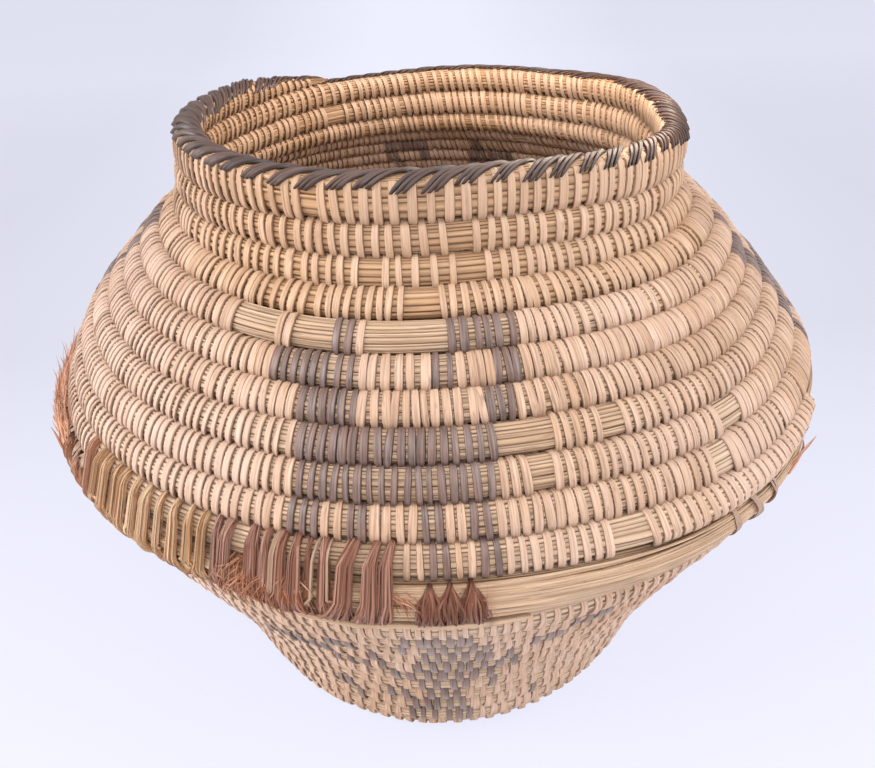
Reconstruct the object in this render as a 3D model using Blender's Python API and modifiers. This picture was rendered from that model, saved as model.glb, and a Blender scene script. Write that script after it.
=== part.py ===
"""A coiled storage basket, in metres, +Z up, standing on z = 0 with its front at -Y.

One long bundle of straw is wound from a button in the middle of the base, out and up,
clockwise as seen from above. It is spliced where its thickness changes: the flat base,
the lower wall, a thicker belly bundle tied on with bark fibre, the shoulder, the neck
and the rim. A dark splint binds the rim. Every bundle is a six-sided tube whose corners
point at the turns above and below it, so that each turn rests on the one before.
"""

import math

import bmesh
import bpy
from mathutils import Vector
from mathutils.geometry import intersect_line_line

MM = 0.001

# Outline of the wall, measured to the middle of the bundle
BASE_EDGE_RADIUS = 150.5 * MM
BELLY_RADIUS = 246.0 * MM
BELLY_HEIGHT = 229.0 * MM
NECK_RADIUS = 149.5 * MM
NECK_HEIGHT = 372.0 * MM
COLLAR_HEIGHT = 60.0 * MM
BASE_CORNER_RADIUS = 20.0 * MM

# Lower wall, from the base corner to the belly: shares of the way out and of the way up
LOWER_WALL_SHARES = (
    (0.055, 0.060),
    (0.215, 0.235),
    (0.375, 0.412),
    (0.560, 0.588),
    (0.760, 0.765),
    (0.945, 0.935),
)
# Shoulder, from the belly to the neck: shares of the way in and of the way up
SHOULDER_SHARES = (
    (0.000, 0.000),
    (0.095, 0.175),
    (0.285, 0.385),
    (0.535, 0.567),
    (0.775, 0.733),
    (0.930, 0.825),
    (1.000, 1.000),
)

# Straw bundle
WALL_BUNDLE = 20.8 * MM
BELLY_BUNDLE = 27.0 * MM
SHOULDER_BUNDLE = 16.5 * MM
COIL_GAP = 0.45 * MM
BUTTON_RADIUS = 24.0 * MM
BUTTON_HEIGHT = 17.5 * MM
BUTTON_BEVEL = 3.0 * MM
BUTTON_BEVEL_STEPS = 2
FIRST_TIP_SHARE = 0.3
LAST_TIP_SHARE = 0.3
FLAT_UNDERSIDE_SHARE = 0.1

# Winding: points round one turn, and turns of each stretch
POINTS_PER_TURN = 24
SPLICE_AZIMUTH = math.radians(60.0)
BASE_TURNS = 7
LOWER_WALL_TURNS = 10
BELLY_TURNS = 1
SHOULDER_TURNS = 7
NECK_TURNS = 2
NECK_EXTRA_POINTS = 14
RIM_TURNS = 1
BELLY_RAMP_POINTS = 3
RIM_TAPER_POINTS = 4
SPLICE_GAP = 0.4 * MM
SPLICE_LEAD = 1.5 * MM
CAP_WELD = 0.02 * MM

# Rim binding
BINDING_WRAPS = 84
BINDING_THICKNESS = 0.8 * MM
BINDING_CLEARANCE = 0.95 * MM
BINDING_END_MARGIN = math.radians(0.6)
BINDING_SLANT = math.radians(5.0)
# Places across the rim, counted in corners of its section, and the share of the slant there
BINDING_SIDES = (-1.5, -1.25, -1.0, 0.0, 0.6)
BINDING_SLANT_SHARES = (0.0, 0.5, 1.0, 1.0, 1.0)

# Lashings round the belly bundle: azimuths from the front, positive to the right
LASHING_THICKNESS = 0.9 * MM
LASHING_CLEARANCE = 0.5 * MM
LASHING_SIDES = (-0.3, -1.0, -2.0, -2.28)
BARK_WIDTH = 10.5 * MM
OCHRE_WIDTH = 12.0 * MM
RED_WIDTH = 13.0 * MM
TUFT_WIDTH = 5.0 * MM
SPLINT_WIDTH = 3.5 * MM
BARK_AZIMUTHS = (-4.5, -7.5, -10.5, -13.5, -16.5, -19.5, -22.5, -25.5)
OCHRE_AZIMUTHS = (-29.5, -33.5, -37.5, -41.5, -45.5)
RED_AZIMUTHS = (-50.0, -54.5, -59.0, -63.5)
TUFT_AZIMUTHS = (-1.2, 1.2, 3.6)
SPLINT_AZIMUTHS = (36.0, 39.5, 44.0)

# Bare rod in the groove under the belly bundle
ROD_RADIUS = 3.2 * MM
ROD_CLEARANCE = 0.5 * MM
ROD_LEFT = math.radians(-17.0)
ROD_RIGHT = math.radians(9.0)

# Section of every bundle
SECTION_SIDES = 6
SECTION_STEP = 2.0 * math.pi / SECTION_SIDES
POINT_STEP = 2.0 * math.pi / POINTS_PER_TURN
WALL_RADIUS = WALL_BUNDLE / 2
BASE_HEIGHT = WALL_RADIUS - FLAT_UNDERSIDE_SHARE * WALL_BUNDLE
CURVE_STEPS = 40
STEP_TRIES = 20

# Colours, roughness
STRAW = ((0.62, 0.44, 0.24), 0.62)
WALL_STRAW = ((0.66, 0.46, 0.28), 0.6)
EXPOSED_STRAW = ((0.72, 0.55, 0.3), 0.5)
NECK_STRAW = ((0.7, 0.5, 0.33), 0.6)
RIM_STRAW = ((0.74, 0.54, 0.37), 0.6)
DARK_SPLINT = ((0.09, 0.07, 0.07), 0.55)
PALE_SPLINT = ((0.72, 0.5, 0.34), 0.5)
BARK = ((0.24, 0.11, 0.09), 0.8)
OCHRE = ((0.5, 0.3, 0.12), 0.8)
RED_BARK = ((0.3, 0.12, 0.07), 0.8)
ROD_WOOD = ((0.66, 0.45, 0.25), 0.4)


class Station:
    """One point of the winding: where the bundle's middle is, how thick it is and how it leans."""

    def __init__(self, index, along, radius, profile):
        self.along = along
        self.radius = radius
        self.azimuth = SPLICE_AZIMUTH - index * POINT_STEP
        place = profile.at(along)
        self.out = place.x
        self.up = place.y
        self.lean = profile.lean(along)

    def outward(self):
        return Vector((math.sin(self.azimuth), -math.cos(self.azimuth), 0.0))

    def forward(self):
        return Vector((-math.cos(self.azimuth), -math.sin(self.azimuth), 0.0))

    def middle(self):
        return self.outward() * self.out + Vector((0.0, 0.0, self.up))

    def corner(self, number, lift):
        """A corner of the section, lifted clear of it. Corner 0 points at the next turn."""
        angle = self.lean + number * SECTION_STEP
        across = self.outward() * math.cos(angle) + Vector((0.0, 0.0, math.sin(angle)))
        return self.middle() + across * (self.radius + lift)


class Profile:
    """The line, in radius and height, that the bundle's middle follows from the axis to the rim."""

    def __init__(self, points):
        self.points = points
        self.lengths = [0.0]
        for start, end in zip(points, points[1:]):
            self.lengths.append(self.lengths[-1] + (end - start).length)

    def piece(self, along):
        number = 0
        while number < len(self.points) - 2 and self.lengths[number + 1] < along:
            number += 1
        return number

    def at(self, along):
        number = self.piece(along)
        start, end = self.points[number], self.points[number + 1]
        length = self.lengths[number + 1] - self.lengths[number]
        return start.lerp(end, (along - self.lengths[number]) / length)

    def lean(self, along):
        reach = WALL_RADIUS / 2
        step = self.at(along + reach) - self.at(max(along - reach, 0.0))
        return math.atan2(step.y, step.x)

    def stepped(self, along, distance):
        """The place further on whose straight distance from this one is the one given."""
        here = self.at(along)
        found = along + distance
        for _ in range(STEP_TRIES):
            found += distance - (self.at(found) - here).length
        return found


def clear_scene():
    for old in list(bpy.data.objects):
        bpy.data.objects.remove(old)


def new_collection(name):
    collection = bpy.data.collections.new(name)
    bpy.context.scene.collection.children.link(collection)
    return collection


def finish(name, look):
    colour, roughness = look
    material = bpy.data.materials.new(name)
    material.use_nodes = True
    shader = material.node_tree.nodes["Principled BSDF"]
    shader.inputs["Base Color"].default_value = (*colour, 1.0)
    shader.inputs["Roughness"].default_value = roughness
    shader.inputs["Metallic"].default_value = 0.0
    material.diffuse_color = (*colour, 1.0)
    return material


def smooth_line(points):
    """A Catmull-Rom curve through the points, which ends at the first and last of them."""
    ends = [2 * points[0] - points[1], *points, 2 * points[-1] - points[-2]]
    line = [points[0]]
    for a, b, c, d in zip(ends, ends[1:], ends[2:], ends[3:]):
        for step in range(1, CURVE_STEPS + 1):
            t = step / CURVE_STEPS
            slope = (c - a) * t + (2 * a - 5 * b + 4 * c - d) * t**2
            line.append(b + (slope + (3 * b - a - 3 * c + d) * t**3) / 2)
    return line


def rounded_corner(flat_start, corner, wall_point):
    """The straight base, its round corner and the first straight of the wall."""
    inward = (flat_start - corner).normalized()
    upward = (wall_point - corner).normalized()
    half = inward.angle(upward) / 2
    back = BASE_CORNER_RADIUS / math.tan(half)
    centre = corner + (inward + upward).normalized() * BASE_CORNER_RADIUS / math.sin(half)
    sweep = math.pi - 2 * half
    arc = []
    for step in range(CURVE_STEPS + 1):
        turn = -math.pi / 2 + sweep * step / CURVE_STEPS
        arc.append(centre + BASE_CORNER_RADIUS * Vector((math.cos(turn), math.sin(turn))))
    return [flat_start, corner + inward * back, *arc[1:]]


def wall_profile():
    corner = Vector((BASE_EDGE_RADIUS, BASE_HEIGHT))
    belly = Vector((BELLY_RADIUS, BELLY_HEIGHT))
    rise = belly - corner
    lower = [corner + Vector((rise.x * out, rise.y * up)) for out, up in LOWER_WALL_SHARES]
    neck = Vector((NECK_RADIUS, NECK_HEIGHT))
    climb = neck - belly
    upper = [belly + Vector((climb.x * out, climb.y * up)) for out, up in SHOULDER_SHARES]
    collar = neck + Vector((0.0, COLLAR_HEIGHT))
    base = rounded_corner(Vector((0.0, BASE_HEIGHT)), corner, lower[1])
    wall = smooth_line([base[-1], *lower[1:], *upper, collar])
    return Profile(base + wall[1:])


def eased(share):
    share = min(max(share, 0.0), 1.0)
    return share * share * (3 - 2 * share)


def stretch_ends():
    """The first point of each stretch of the winding, by name, and the last point of all."""
    counts = (
        ("base_coil", BASE_TURNS * POINTS_PER_TURN),
        ("lower_wall_coil", LOWER_WALL_TURNS * POINTS_PER_TURN),
        ("belly_bundle", BELLY_TURNS * POINTS_PER_TURN),
        ("shoulder_coil", SHOULDER_TURNS * POINTS_PER_TURN),
        ("neck_coil", NECK_TURNS * POINTS_PER_TURN + NECK_EXTRA_POINTS),
        ("rim_coil", RIM_TURNS * POINTS_PER_TURN),
    )
    ends = {}
    first = 0
    for name, count in counts:
        ends[name] = (first, first + count)
        first += count
    return ends


def bundle_radius(index, ends):
    """Half the bundle's thickness: it swells at the belly and tapers at both of its tips."""
    shoulder_radius = SHOULDER_BUNDLE / 2
    belly_start, belly_end = ends["belly_bundle"]
    rim_end = ends["rim_coil"][1]
    if index < POINTS_PER_TURN:
        swell = eased(index / POINTS_PER_TURN)
        return WALL_RADIUS * (FIRST_TIP_SHARE + (1 - FIRST_TIP_SHARE) * swell)
    if index <= belly_start:
        return WALL_RADIUS
    if index <= belly_start + BELLY_RAMP_POINTS:
        swell = eased((index - belly_start) / BELLY_RAMP_POINTS)
        return WALL_RADIUS + (BELLY_BUNDLE / 2 - WALL_RADIUS) * swell
    if index <= belly_end:
        swell = eased((belly_end - index) / BELLY_RAMP_POINTS)
        return shoulder_radius + (BELLY_BUNDLE / 2 - shoulder_radius) * swell
    taper = eased((rim_end - index) / RIM_TAPER_POINTS)
    return shoulder_radius * (LAST_TIP_SHARE + (1 - LAST_TIP_SHARE) * taper)


def wind(profile, ends):
    """Every point of the winding. Each turn lies one gap outside the turn before it."""
    stations = []
    for index in range(ends["rim_coil"][1] + 1):
        radius = bundle_radius(index, ends)
        if index < POINTS_PER_TURN:
            along = BUTTON_RADIUS + COIL_GAP + radius
        else:
            below = stations[index - POINTS_PER_TURN]
            along = profile.stepped(below.along, below.radius + radius + COIL_GAP)
        stations.append(Station(index, along, radius, profile))
    return stations


def print_least_gap(stations):
    pairs = zip(stations, stations[POINTS_PER_TURN:])
    gaps = [(b.middle() - a.middle()).length - a.radius - b.radius for a, b in pairs]
    print(f"least gap between turns: {min(gaps) / MM:.3f} mm")


def poly_tube(name, points, radii, leans, thickness):
    """A closed tube of six sides along straight steps. Thickness is the largest radius."""
    curve = bpy.data.curves.new(name, "CURVE")
    curve.dimensions = "3D"
    curve.twist_mode = "Z_UP"
    curve.bevel_depth = thickness
    curve.bevel_resolution = 1
    curve.use_fill_caps = True
    spline = curve.splines.new("POLY")
    spline.points.add(len(points) - 1)
    for place, point, radius, lean in zip(spline.points, points, radii, leans):
        place.co = (*point, 1.0)
        place.radius = radius / thickness
        place.tilt = lean
    return bpy.data.objects.new(name, curve)


def coil_tube(name, stations):
    """The bundle along one stretch. Its ends are square to the bundle, half a gap short."""
    first, last = stations[0], stations[-1]
    near = SPLICE_GAP / 2
    far = near + SPLICE_LEAD
    points = [first.middle() + first.forward() * near, first.middle() + first.forward() * far]
    points += [station.middle() for station in stations[1:-1]]
    points += [last.middle() - last.forward() * far, last.middle() - last.forward() * near]
    sources = [first, first, *stations[1:-1], last, last]
    radii = [station.radius for station in sources]
    leans = [station.lean for station in sources]
    return poly_tube(name, points, radii, leans, max(radii))


def add_part(collection, obj, look):
    collection.objects.link(obj)
    obj.data.materials.append(finish(obj.name, look))
    return obj


def as_mesh(collection, obj):
    """The curve object as a mesh object of the same name, with its caps welded on."""
    name = obj.name
    bpy.context.view_layer.update()
    graph = bpy.context.evaluated_depsgraph_get()
    mesh = bpy.data.meshes.new_from_object(obj.evaluated_get(graph))
    shape = bmesh.new()
    shape.from_mesh(mesh)
    bmesh.ops.remove_doubles(shape, verts=shape.verts, dist=CAP_WELD)
    shape.to_mesh(mesh)
    shape.free()
    place = obj.matrix_world.copy()
    bpy.data.objects.remove(obj)
    solid = bpy.data.objects.new(name, mesh)
    solid.matrix_world = place
    collection.objects.link(solid)
    return solid


def floor_cutter(collection):
    """A slab whose top is the surface that the basket stands on."""
    side = 2 * (BASE_EDGE_RADIUS + WALL_BUNDLE)
    shape = bmesh.new()
    bmesh.ops.create_cube(shape, size=1)
    bmesh.ops.scale(shape, verts=shape.verts, vec=(side, side, WALL_BUNDLE))
    bmesh.ops.translate(shape, verts=shape.verts, vec=(0.0, 0.0, -WALL_BUNDLE / 2))
    mesh = bpy.data.meshes.new("floor_cutter")
    shape.to_mesh(mesh)
    shape.free()
    cutter = bpy.data.objects.new("floor_cutter", mesh)
    cutter.hide_render = True
    cutter.display_type = "WIRE"
    collection.objects.link(cutter)
    return cutter


def cut_flat(obj, cutter):
    cut = obj.modifiers.new("flat underside", "BOOLEAN")
    cut.operation = "DIFFERENCE"
    cut.solver = "EXACT"
    cut.object = cutter


def base_start():
    """The button of tightly wound straw that the first turn starts round."""
    shape = bmesh.new()
    bmesh.ops.create_cone(
        shape,
        cap_ends=True,
        segments=POINTS_PER_TURN,
        radius1=BUTTON_RADIUS,
        radius2=BUTTON_RADIUS,
        depth=BUTTON_HEIGHT,
    )
    bmesh.ops.translate(shape, verts=shape.verts, vec=(0.0, 0.0, BUTTON_HEIGHT / 2))
    top = [edge for edge in shape.edges if all(v.co.z > BUTTON_HEIGHT / 2 for v in edge.verts)]
    bmesh.ops.bevel(
        shape,
        geom=top,
        offset=BUTTON_BEVEL,
        segments=BUTTON_BEVEL_STEPS,
        affect="EDGES",
        profile=0.5,
    )
    mesh = bpy.data.meshes.new("base_start")
    shape.to_mesh(mesh)
    shape.free()
    return bpy.data.objects.new("base_start", mesh)


def on_section(stations, position, side, lift):
    """A point lifted off the bundle: position counts stations, side counts its corners."""
    places = []
    low_station = min(int(position), len(stations) - 2)
    low_side = math.floor(side)
    for station in stations[low_station : low_station + 2]:
        start = station.corner(low_side, lift)
        places.append(start.lerp(station.corner(low_side + 1, lift), side - low_side))
    return places[0].lerp(places[1], position - low_station)


def position_of(first, azimuth):
    """The station, counted with a fraction, where the stretch from first passes the azimuth."""
    return first + (SPLICE_AZIMUTH - azimuth) / POINT_STEP


def add_band(shape, stations, position, sides, width, lift):
    """A flat strip bent round the bundle. The grid's X runs round it and its Y across."""
    half = width / 2 / stations[int(position)].out / POINT_STEP
    columns = len(sides) - 1
    bmesh.ops.create_grid(shape, x_segments=columns, y_segments=2, size=1)
    for vertex in shape.verts:
        side = sides[round((vertex.co.x + 1) / 2 * columns)]
        vertex.co = on_section(stations, position - half * vertex.co.y, side, lift)


def band_object(name, shape, thickness):
    mesh = bpy.data.meshes.new(name)
    shape.to_mesh(mesh)
    shape.free()
    band = bpy.data.objects.new(name, mesh)
    solid = band.modifiers.new("thickness", "SOLIDIFY")
    solid.thickness = thickness
    solid.offset = 1.0
    return band


def rim_binding(stations, ends):
    """The dark skin over the rim, with one blunt slanting end outside for each wrap."""
    first, last = ends["rim_coil"]
    rows = len(BINDING_SIDES) - 1
    columns = 2 * BINDING_WRAPS - 1
    slant = BINDING_SLANT / POINT_STEP
    margin = BINDING_END_MARGIN / POINT_STEP
    start = first + slant + margin
    stop = last - margin
    shape = bmesh.new()
    bmesh.ops.create_grid(shape, x_segments=columns, y_segments=rows, size=1)
    gaps = []
    for face in shape.faces:
        middle = face.calc_center_median()
        column = math.floor((middle.x + 1) / 2 * columns)
        if middle.y + 1 < 2 / rows and column % 2:
            gaps.append(face)
    bmesh.ops.delete(shape, geom=gaps, context="FACES")
    for vertex in shape.verts:
        row = round((vertex.co.y + 1) / 2 * rows)
        place = stop - (stop - start) * (vertex.co.x + 1) / 2 - slant * BINDING_SLANT_SHARES[row]
        vertex.co = on_section(stations, place, BINDING_SIDES[row], BINDING_CLEARANCE)
    return band_object("rim_binding", shape, BINDING_THICKNESS)


def lashing(name, stations, ends, azimuth, width):
    shape = bmesh.new()
    position = position_of(ends["belly_bundle"][0], math.radians(azimuth))
    add_band(shape, stations, position, LASHING_SIDES, width, LASHING_CLEARANCE)
    return band_object(name, shape, LASHING_THICKNESS)


def rod_place(stations, position):
    """Where the rod lies in the groove between the belly bundle and the turn under it."""
    low = int(position)
    lift = (ROD_RADIUS + ROD_CLEARANCE) / math.cos(SECTION_STEP / 2)
    places = []
    for index in (low, low + 1):
        over, under = stations[index], stations[index - POINTS_PER_TURN]
        upper_face = (over.corner(-3, lift), over.corner(-2, lift))
        lower_face = (under.corner(0, lift), under.corner(-1, lift))
        places.append(intersect_line_line(*upper_face, *lower_face)[0])
    return places[0].lerp(places[1], position - low)


def ledge_rod(stations, ends):
    first = ends["belly_bundle"][0]
    right = position_of(first, ROD_RIGHT)
    left = position_of(first, ROD_LEFT)
    positions = [right, *range(math.ceil(right), math.floor(left) + 1), left]
    points = [rod_place(stations, position) for position in positions]
    count = len(points)
    return poly_tube("ledge_rod", points, [ROD_RADIUS] * count, [0.0] * count, ROD_RADIUS)


def add_coils(parts, cutters, stations, ends):
    looks = {
        "base_coil": STRAW,
        "lower_wall_coil": WALL_STRAW,
        "belly_bundle": EXPOSED_STRAW,
        "shoulder_coil": WALL_STRAW,
        "neck_coil": NECK_STRAW,
        "rim_coil": RIM_STRAW,
    }
    for name, (first, last) in ends.items():
        tube = coil_tube(name, stations[first : last + 1])
        add_part(parts, tube, looks[name])
    base = as_mesh(parts, bpy.data.objects["base_coil"])
    cut_flat(base, floor_cutter(cutters))


def add_lashings(parts, stations, ends):
    groups = (
        ("bark_lashing", BARK_AZIMUTHS, BARK_WIDTH, BARK),
        ("ochre_lashing", OCHRE_AZIMUTHS, OCHRE_WIDTH, OCHRE),
        ("red_lashing", RED_AZIMUTHS, RED_WIDTH, RED_BARK),
        ("fibre_tuft", TUFT_AZIMUTHS, TUFT_WIDTH, BARK),
        ("splint_tie", SPLINT_AZIMUTHS, SPLINT_WIDTH, PALE_SPLINT),
    )
    for name, azimuths, width, look in groups:
        for number, azimuth in enumerate(azimuths, start=1):
            band = lashing(f"{name}_{number}", stations, ends, azimuth, width)
            add_part(parts, band, look)


def main():
    clear_scene()
    parts = new_collection("storage_basket")
    cutters = new_collection("cutters")
    ends = stretch_ends()
    stations = wind(wall_profile(), ends)
    print_least_gap(stations)
    add_part(parts, base_start(), STRAW)
    add_coils(parts, cutters, stations, ends)
    add_part(parts, ledge_rod(stations, ends), ROD_WOOD)
    add_part(parts, rim_binding(stations, ends), DARK_SPLINT)
    add_lashings(parts, stations, ends)


main()
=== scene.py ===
"""The look of the coiled storage basket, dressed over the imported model.

One long bundle of straw is wound as a spiral and sewn with flat splints. The classes below
make the straw of each stretch, its sewing with the dark stepped pattern, the overcast rim,
the rod under the belly and the bark lashings, and the pale studio that it stands in.
"""

import itertools
import logging
import math
from dataclasses import dataclass, field
from enum import Enum

import bmesh
import bpy
import numpy as np
from mathutils import Matrix, Vector


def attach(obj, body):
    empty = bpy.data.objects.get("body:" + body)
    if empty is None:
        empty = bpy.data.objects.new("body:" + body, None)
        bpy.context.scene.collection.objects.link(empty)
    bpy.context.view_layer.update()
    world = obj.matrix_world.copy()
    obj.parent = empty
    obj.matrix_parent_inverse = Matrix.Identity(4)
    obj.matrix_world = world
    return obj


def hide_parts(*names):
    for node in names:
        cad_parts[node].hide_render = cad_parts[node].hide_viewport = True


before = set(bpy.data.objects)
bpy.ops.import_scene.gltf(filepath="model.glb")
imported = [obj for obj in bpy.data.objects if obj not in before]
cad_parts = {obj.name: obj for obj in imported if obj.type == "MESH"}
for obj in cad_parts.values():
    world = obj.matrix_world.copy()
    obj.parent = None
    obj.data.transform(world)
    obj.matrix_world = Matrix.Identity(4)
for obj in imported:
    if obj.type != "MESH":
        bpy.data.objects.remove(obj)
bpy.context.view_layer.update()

MM = 0.001
ROOT = "root"
IMAGE_WIDTH = 875

# The winding has 24 points a turn, and its splices are 60 degrees round from the front.
PER_TURN = 24
CIRCLE = 360.0
POINT_STEP = 2 * math.pi / PER_TURN
POINT_DEGREES = CIRCLE / PER_TURN
SPLICE_DEGREES = 60.0
SPLICE_AZIMUTH = math.radians(SPLICE_DEGREES)
FRONT_POINT = SPLICE_DEGREES / POINT_DEGREES
RIM_TURN = 29

# The winding points where the sewing's spacing and width change.
SEWING_POINTS = (0.0, 230.0, 350.0, 600.0, 650.0)

# The radians that a phase is drawn from, and the degrees from which an edge is sharp.
PHASES = (0, 6)
ROUND_EDGE = 60.0
STRAP_EDGE = 50.0

# Where a strap's section starts and how wide it is, in half widths.
SECTION_START = -1.05
SECTION_SPAN = 2.2

Colour = tuple[float, float, float]
Place = tuple[float, float, float]
Value = float | tuple[float, ...] | bpy.types.NodeSocket
LOG = logging.getLogger("basket")


def eased(value: np.ndarray | float, low: float, high: float) -> np.ndarray:
    """A smooth step.

    Args:
        value: the numbers to step.
        low: where the step starts.
        high: where it is complete.

    Returns:
        0 below low, 1 above high, and a smooth rise between them.
    """
    share = np.clip((np.asarray(value, float) - low) / (high - low), 0.0, 1.0)
    return share * share * (3 - 2 * share)


def smooth_line(points: np.ndarray, steps: int = 40) -> np.ndarray:
    """A Catmull-Rom curve through points.

    Args:
        points: the points, one a row.
        steps: the steps between two points.

    Returns:
        The curve's points, which start at the first and end at the last.
    """
    ends = np.concatenate(([2 * points[0] - points[1]], points, [2 * points[-1] - points[-2]]))
    share = np.arange(1, steps + 1)[:, None] / steps
    line = [points[:1]]
    for a, b, c, d in zip(ends, ends[1:], ends[2:], ends[3:]):
        slope = (c - a) * share + (2 * a - 5 * b + 4 * c - d) * share**2
        line.append(b + (slope + (3 * b - a - 3 * c + d) * share**3) / 2)
    return np.concatenate(line)


def strand_map(along: np.ndarray, across: np.ndarray) -> np.ndarray:
    """The UV of every tube point, from the metres along its strand and its place across."""
    return np.stack(np.broadcast_arrays(along, across), axis=-1)


def strap_across(section: np.ndarray, count: int) -> np.ndarray:
    """The places across some straps of one section, each a strap's number and a share."""
    return (section[:, 0] - SECTION_START) / SECTION_SPAN + np.arange(count)[:, None, None]


def round_across(sides: int, count: int) -> np.ndarray:
    """The places round some strands, each a strand's number and a share."""
    return np.arange(sides) / sides + np.arange(count)[:, None, None]


def in_bands(row: np.ndarray, degrees: np.ndarray, bands: tuple[tuple[int, float, float], ...]) -> np.ndarray:
    """Whether each stitch lies in one of some bands.

    Args:
        row: the row of each stitch.
        degrees: where in its row each stitch is.
        bands: each band's row, with its lowest and highest degrees.

    Returns:
        One truth value for each stitch.
    """
    found = np.zeros(len(row), bool)
    for number, low, high in bands:
        found |= (row == number) & (degrees >= low) & (degrees <= high)
    return found


def profile(share: np.ndarray, points: tuple[tuple[float, float], ...]) -> np.ndarray:
    """The height at each share of a line through points, each a share and a height."""
    return np.interp(share, *zip(*points))


def wave(
    share: np.ndarray, low: float, high: float, random: np.random.Generator, count: int
) -> np.ndarray:
    """A sine along each of some strands.

    Args:
        share: the places along a strand, from 0 to 1.
        low: the fewest radians that a sine runs through.
        high: the most radians.
        random: the draws.
        count: the number of strands.

    Returns:
        The sines, by strand and place.
    """
    each = (count, 1)
    return np.sin(share * random.uniform(low, high, each) + random.uniform(*PHASES, each))


@dataclass(frozen=True)
class Outline:
    """The line, in radius and height, that the middle of the bundle follows, in metres."""

    base_edge: float = 150.5 * MM
    belly: tuple[float, float] = (246.0 * MM, 229.0 * MM)
    neck: tuple[float, float] = (149.5 * MM, 372.0 * MM)
    collar: float = 60.0 * MM
    corner_radius: float = 20.0 * MM
    base_height: float = (10.4 - 2.08) * MM
    lower_shares: tuple[tuple[float, float], ...] = (
        (0.055, 0.060),
        (0.215, 0.235),
        (0.375, 0.412),
        (0.560, 0.588),
        (0.760, 0.765),
        (0.945, 0.935),
    )
    shoulder_shares: tuple[tuple[float, float], ...] = (
        (0.000, 0.000),
        (0.095, 0.175),
        (0.285, 0.385),
        (0.535, 0.567),
        (0.775, 0.733),
        (0.930, 0.825),
        (1.000, 1.000),
    )

    def base(self, first_wall_point: np.ndarray) -> np.ndarray:
        """The flat base and its round corner.

        Args:
            first_wall_point: the first point of the wall above the corner.

        Returns:
            The line's points, from the middle of the base to the top of the corner.
        """
        start = np.array((0.0, self.base_height))
        corner = np.array((self.base_edge, self.base_height))
        inward = (start - corner) / np.linalg.norm(start - corner)
        upward = (first_wall_point - corner) / np.linalg.norm(first_wall_point - corner)
        half = math.acos(float(inward @ upward)) / 2
        bisector = (inward + upward) / np.linalg.norm(inward + upward)
        centre = corner + bisector * self.corner_radius / math.sin(half)
        turn = -math.pi / 2 + (math.pi - 2 * half) * np.linspace(0.0, 1.0, 41)
        arc = centre + self.corner_radius * np.stack((np.cos(turn), np.sin(turn)), axis=-1)
        return np.concatenate(([start], arc))

    def line(self) -> np.ndarray:
        """The whole line, from the middle of the base to above the rim, one point a row."""
        corner = np.array((self.base_edge, self.base_height))
        belly, neck = np.array(self.belly), np.array(self.neck)
        lower = corner + (belly - corner) * np.array(self.lower_shares)
        upper = belly + (neck - belly) * np.array(self.shoulder_shares)
        base = self.base(lower[1])
        top = neck + np.array((0.0, self.collar))
        wall = smooth_line(np.concatenate((base[-1:], lower[1:], upper, [top])))
        return np.concatenate((base, wall[1:]))


class Stretch(Enum):
    """The stretches of the winding, with their first and last points."""

    BASE = ("base_coil", 0, 168)
    LOWER_WALL = ("lower_wall_coil", 168, 408)
    BELLY = ("belly_bundle", 408, 432)
    SHOULDER = ("shoulder_coil", 432, 600)
    NECK = ("neck_coil", 600, 662)
    RIM = ("rim_coil", 662, 686)

    @property
    def node(self) -> str:
        """The name of the stretch's CAD node."""
        return self.value[0]

    @property
    def first(self) -> int:
        """The winding point where the stretch starts."""
        return self.value[1]

    @property
    def last(self) -> int:
        """The winding point where the stretch ends."""
        return self.value[2]

    def at(self, azimuth: np.ndarray | float) -> np.ndarray | float:
        """The winding point at an azimuth, in degrees, on the stretch's first turn."""
        return self.first + (SPLICE_DEGREES - azimuth) / POINT_DEGREES


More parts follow.
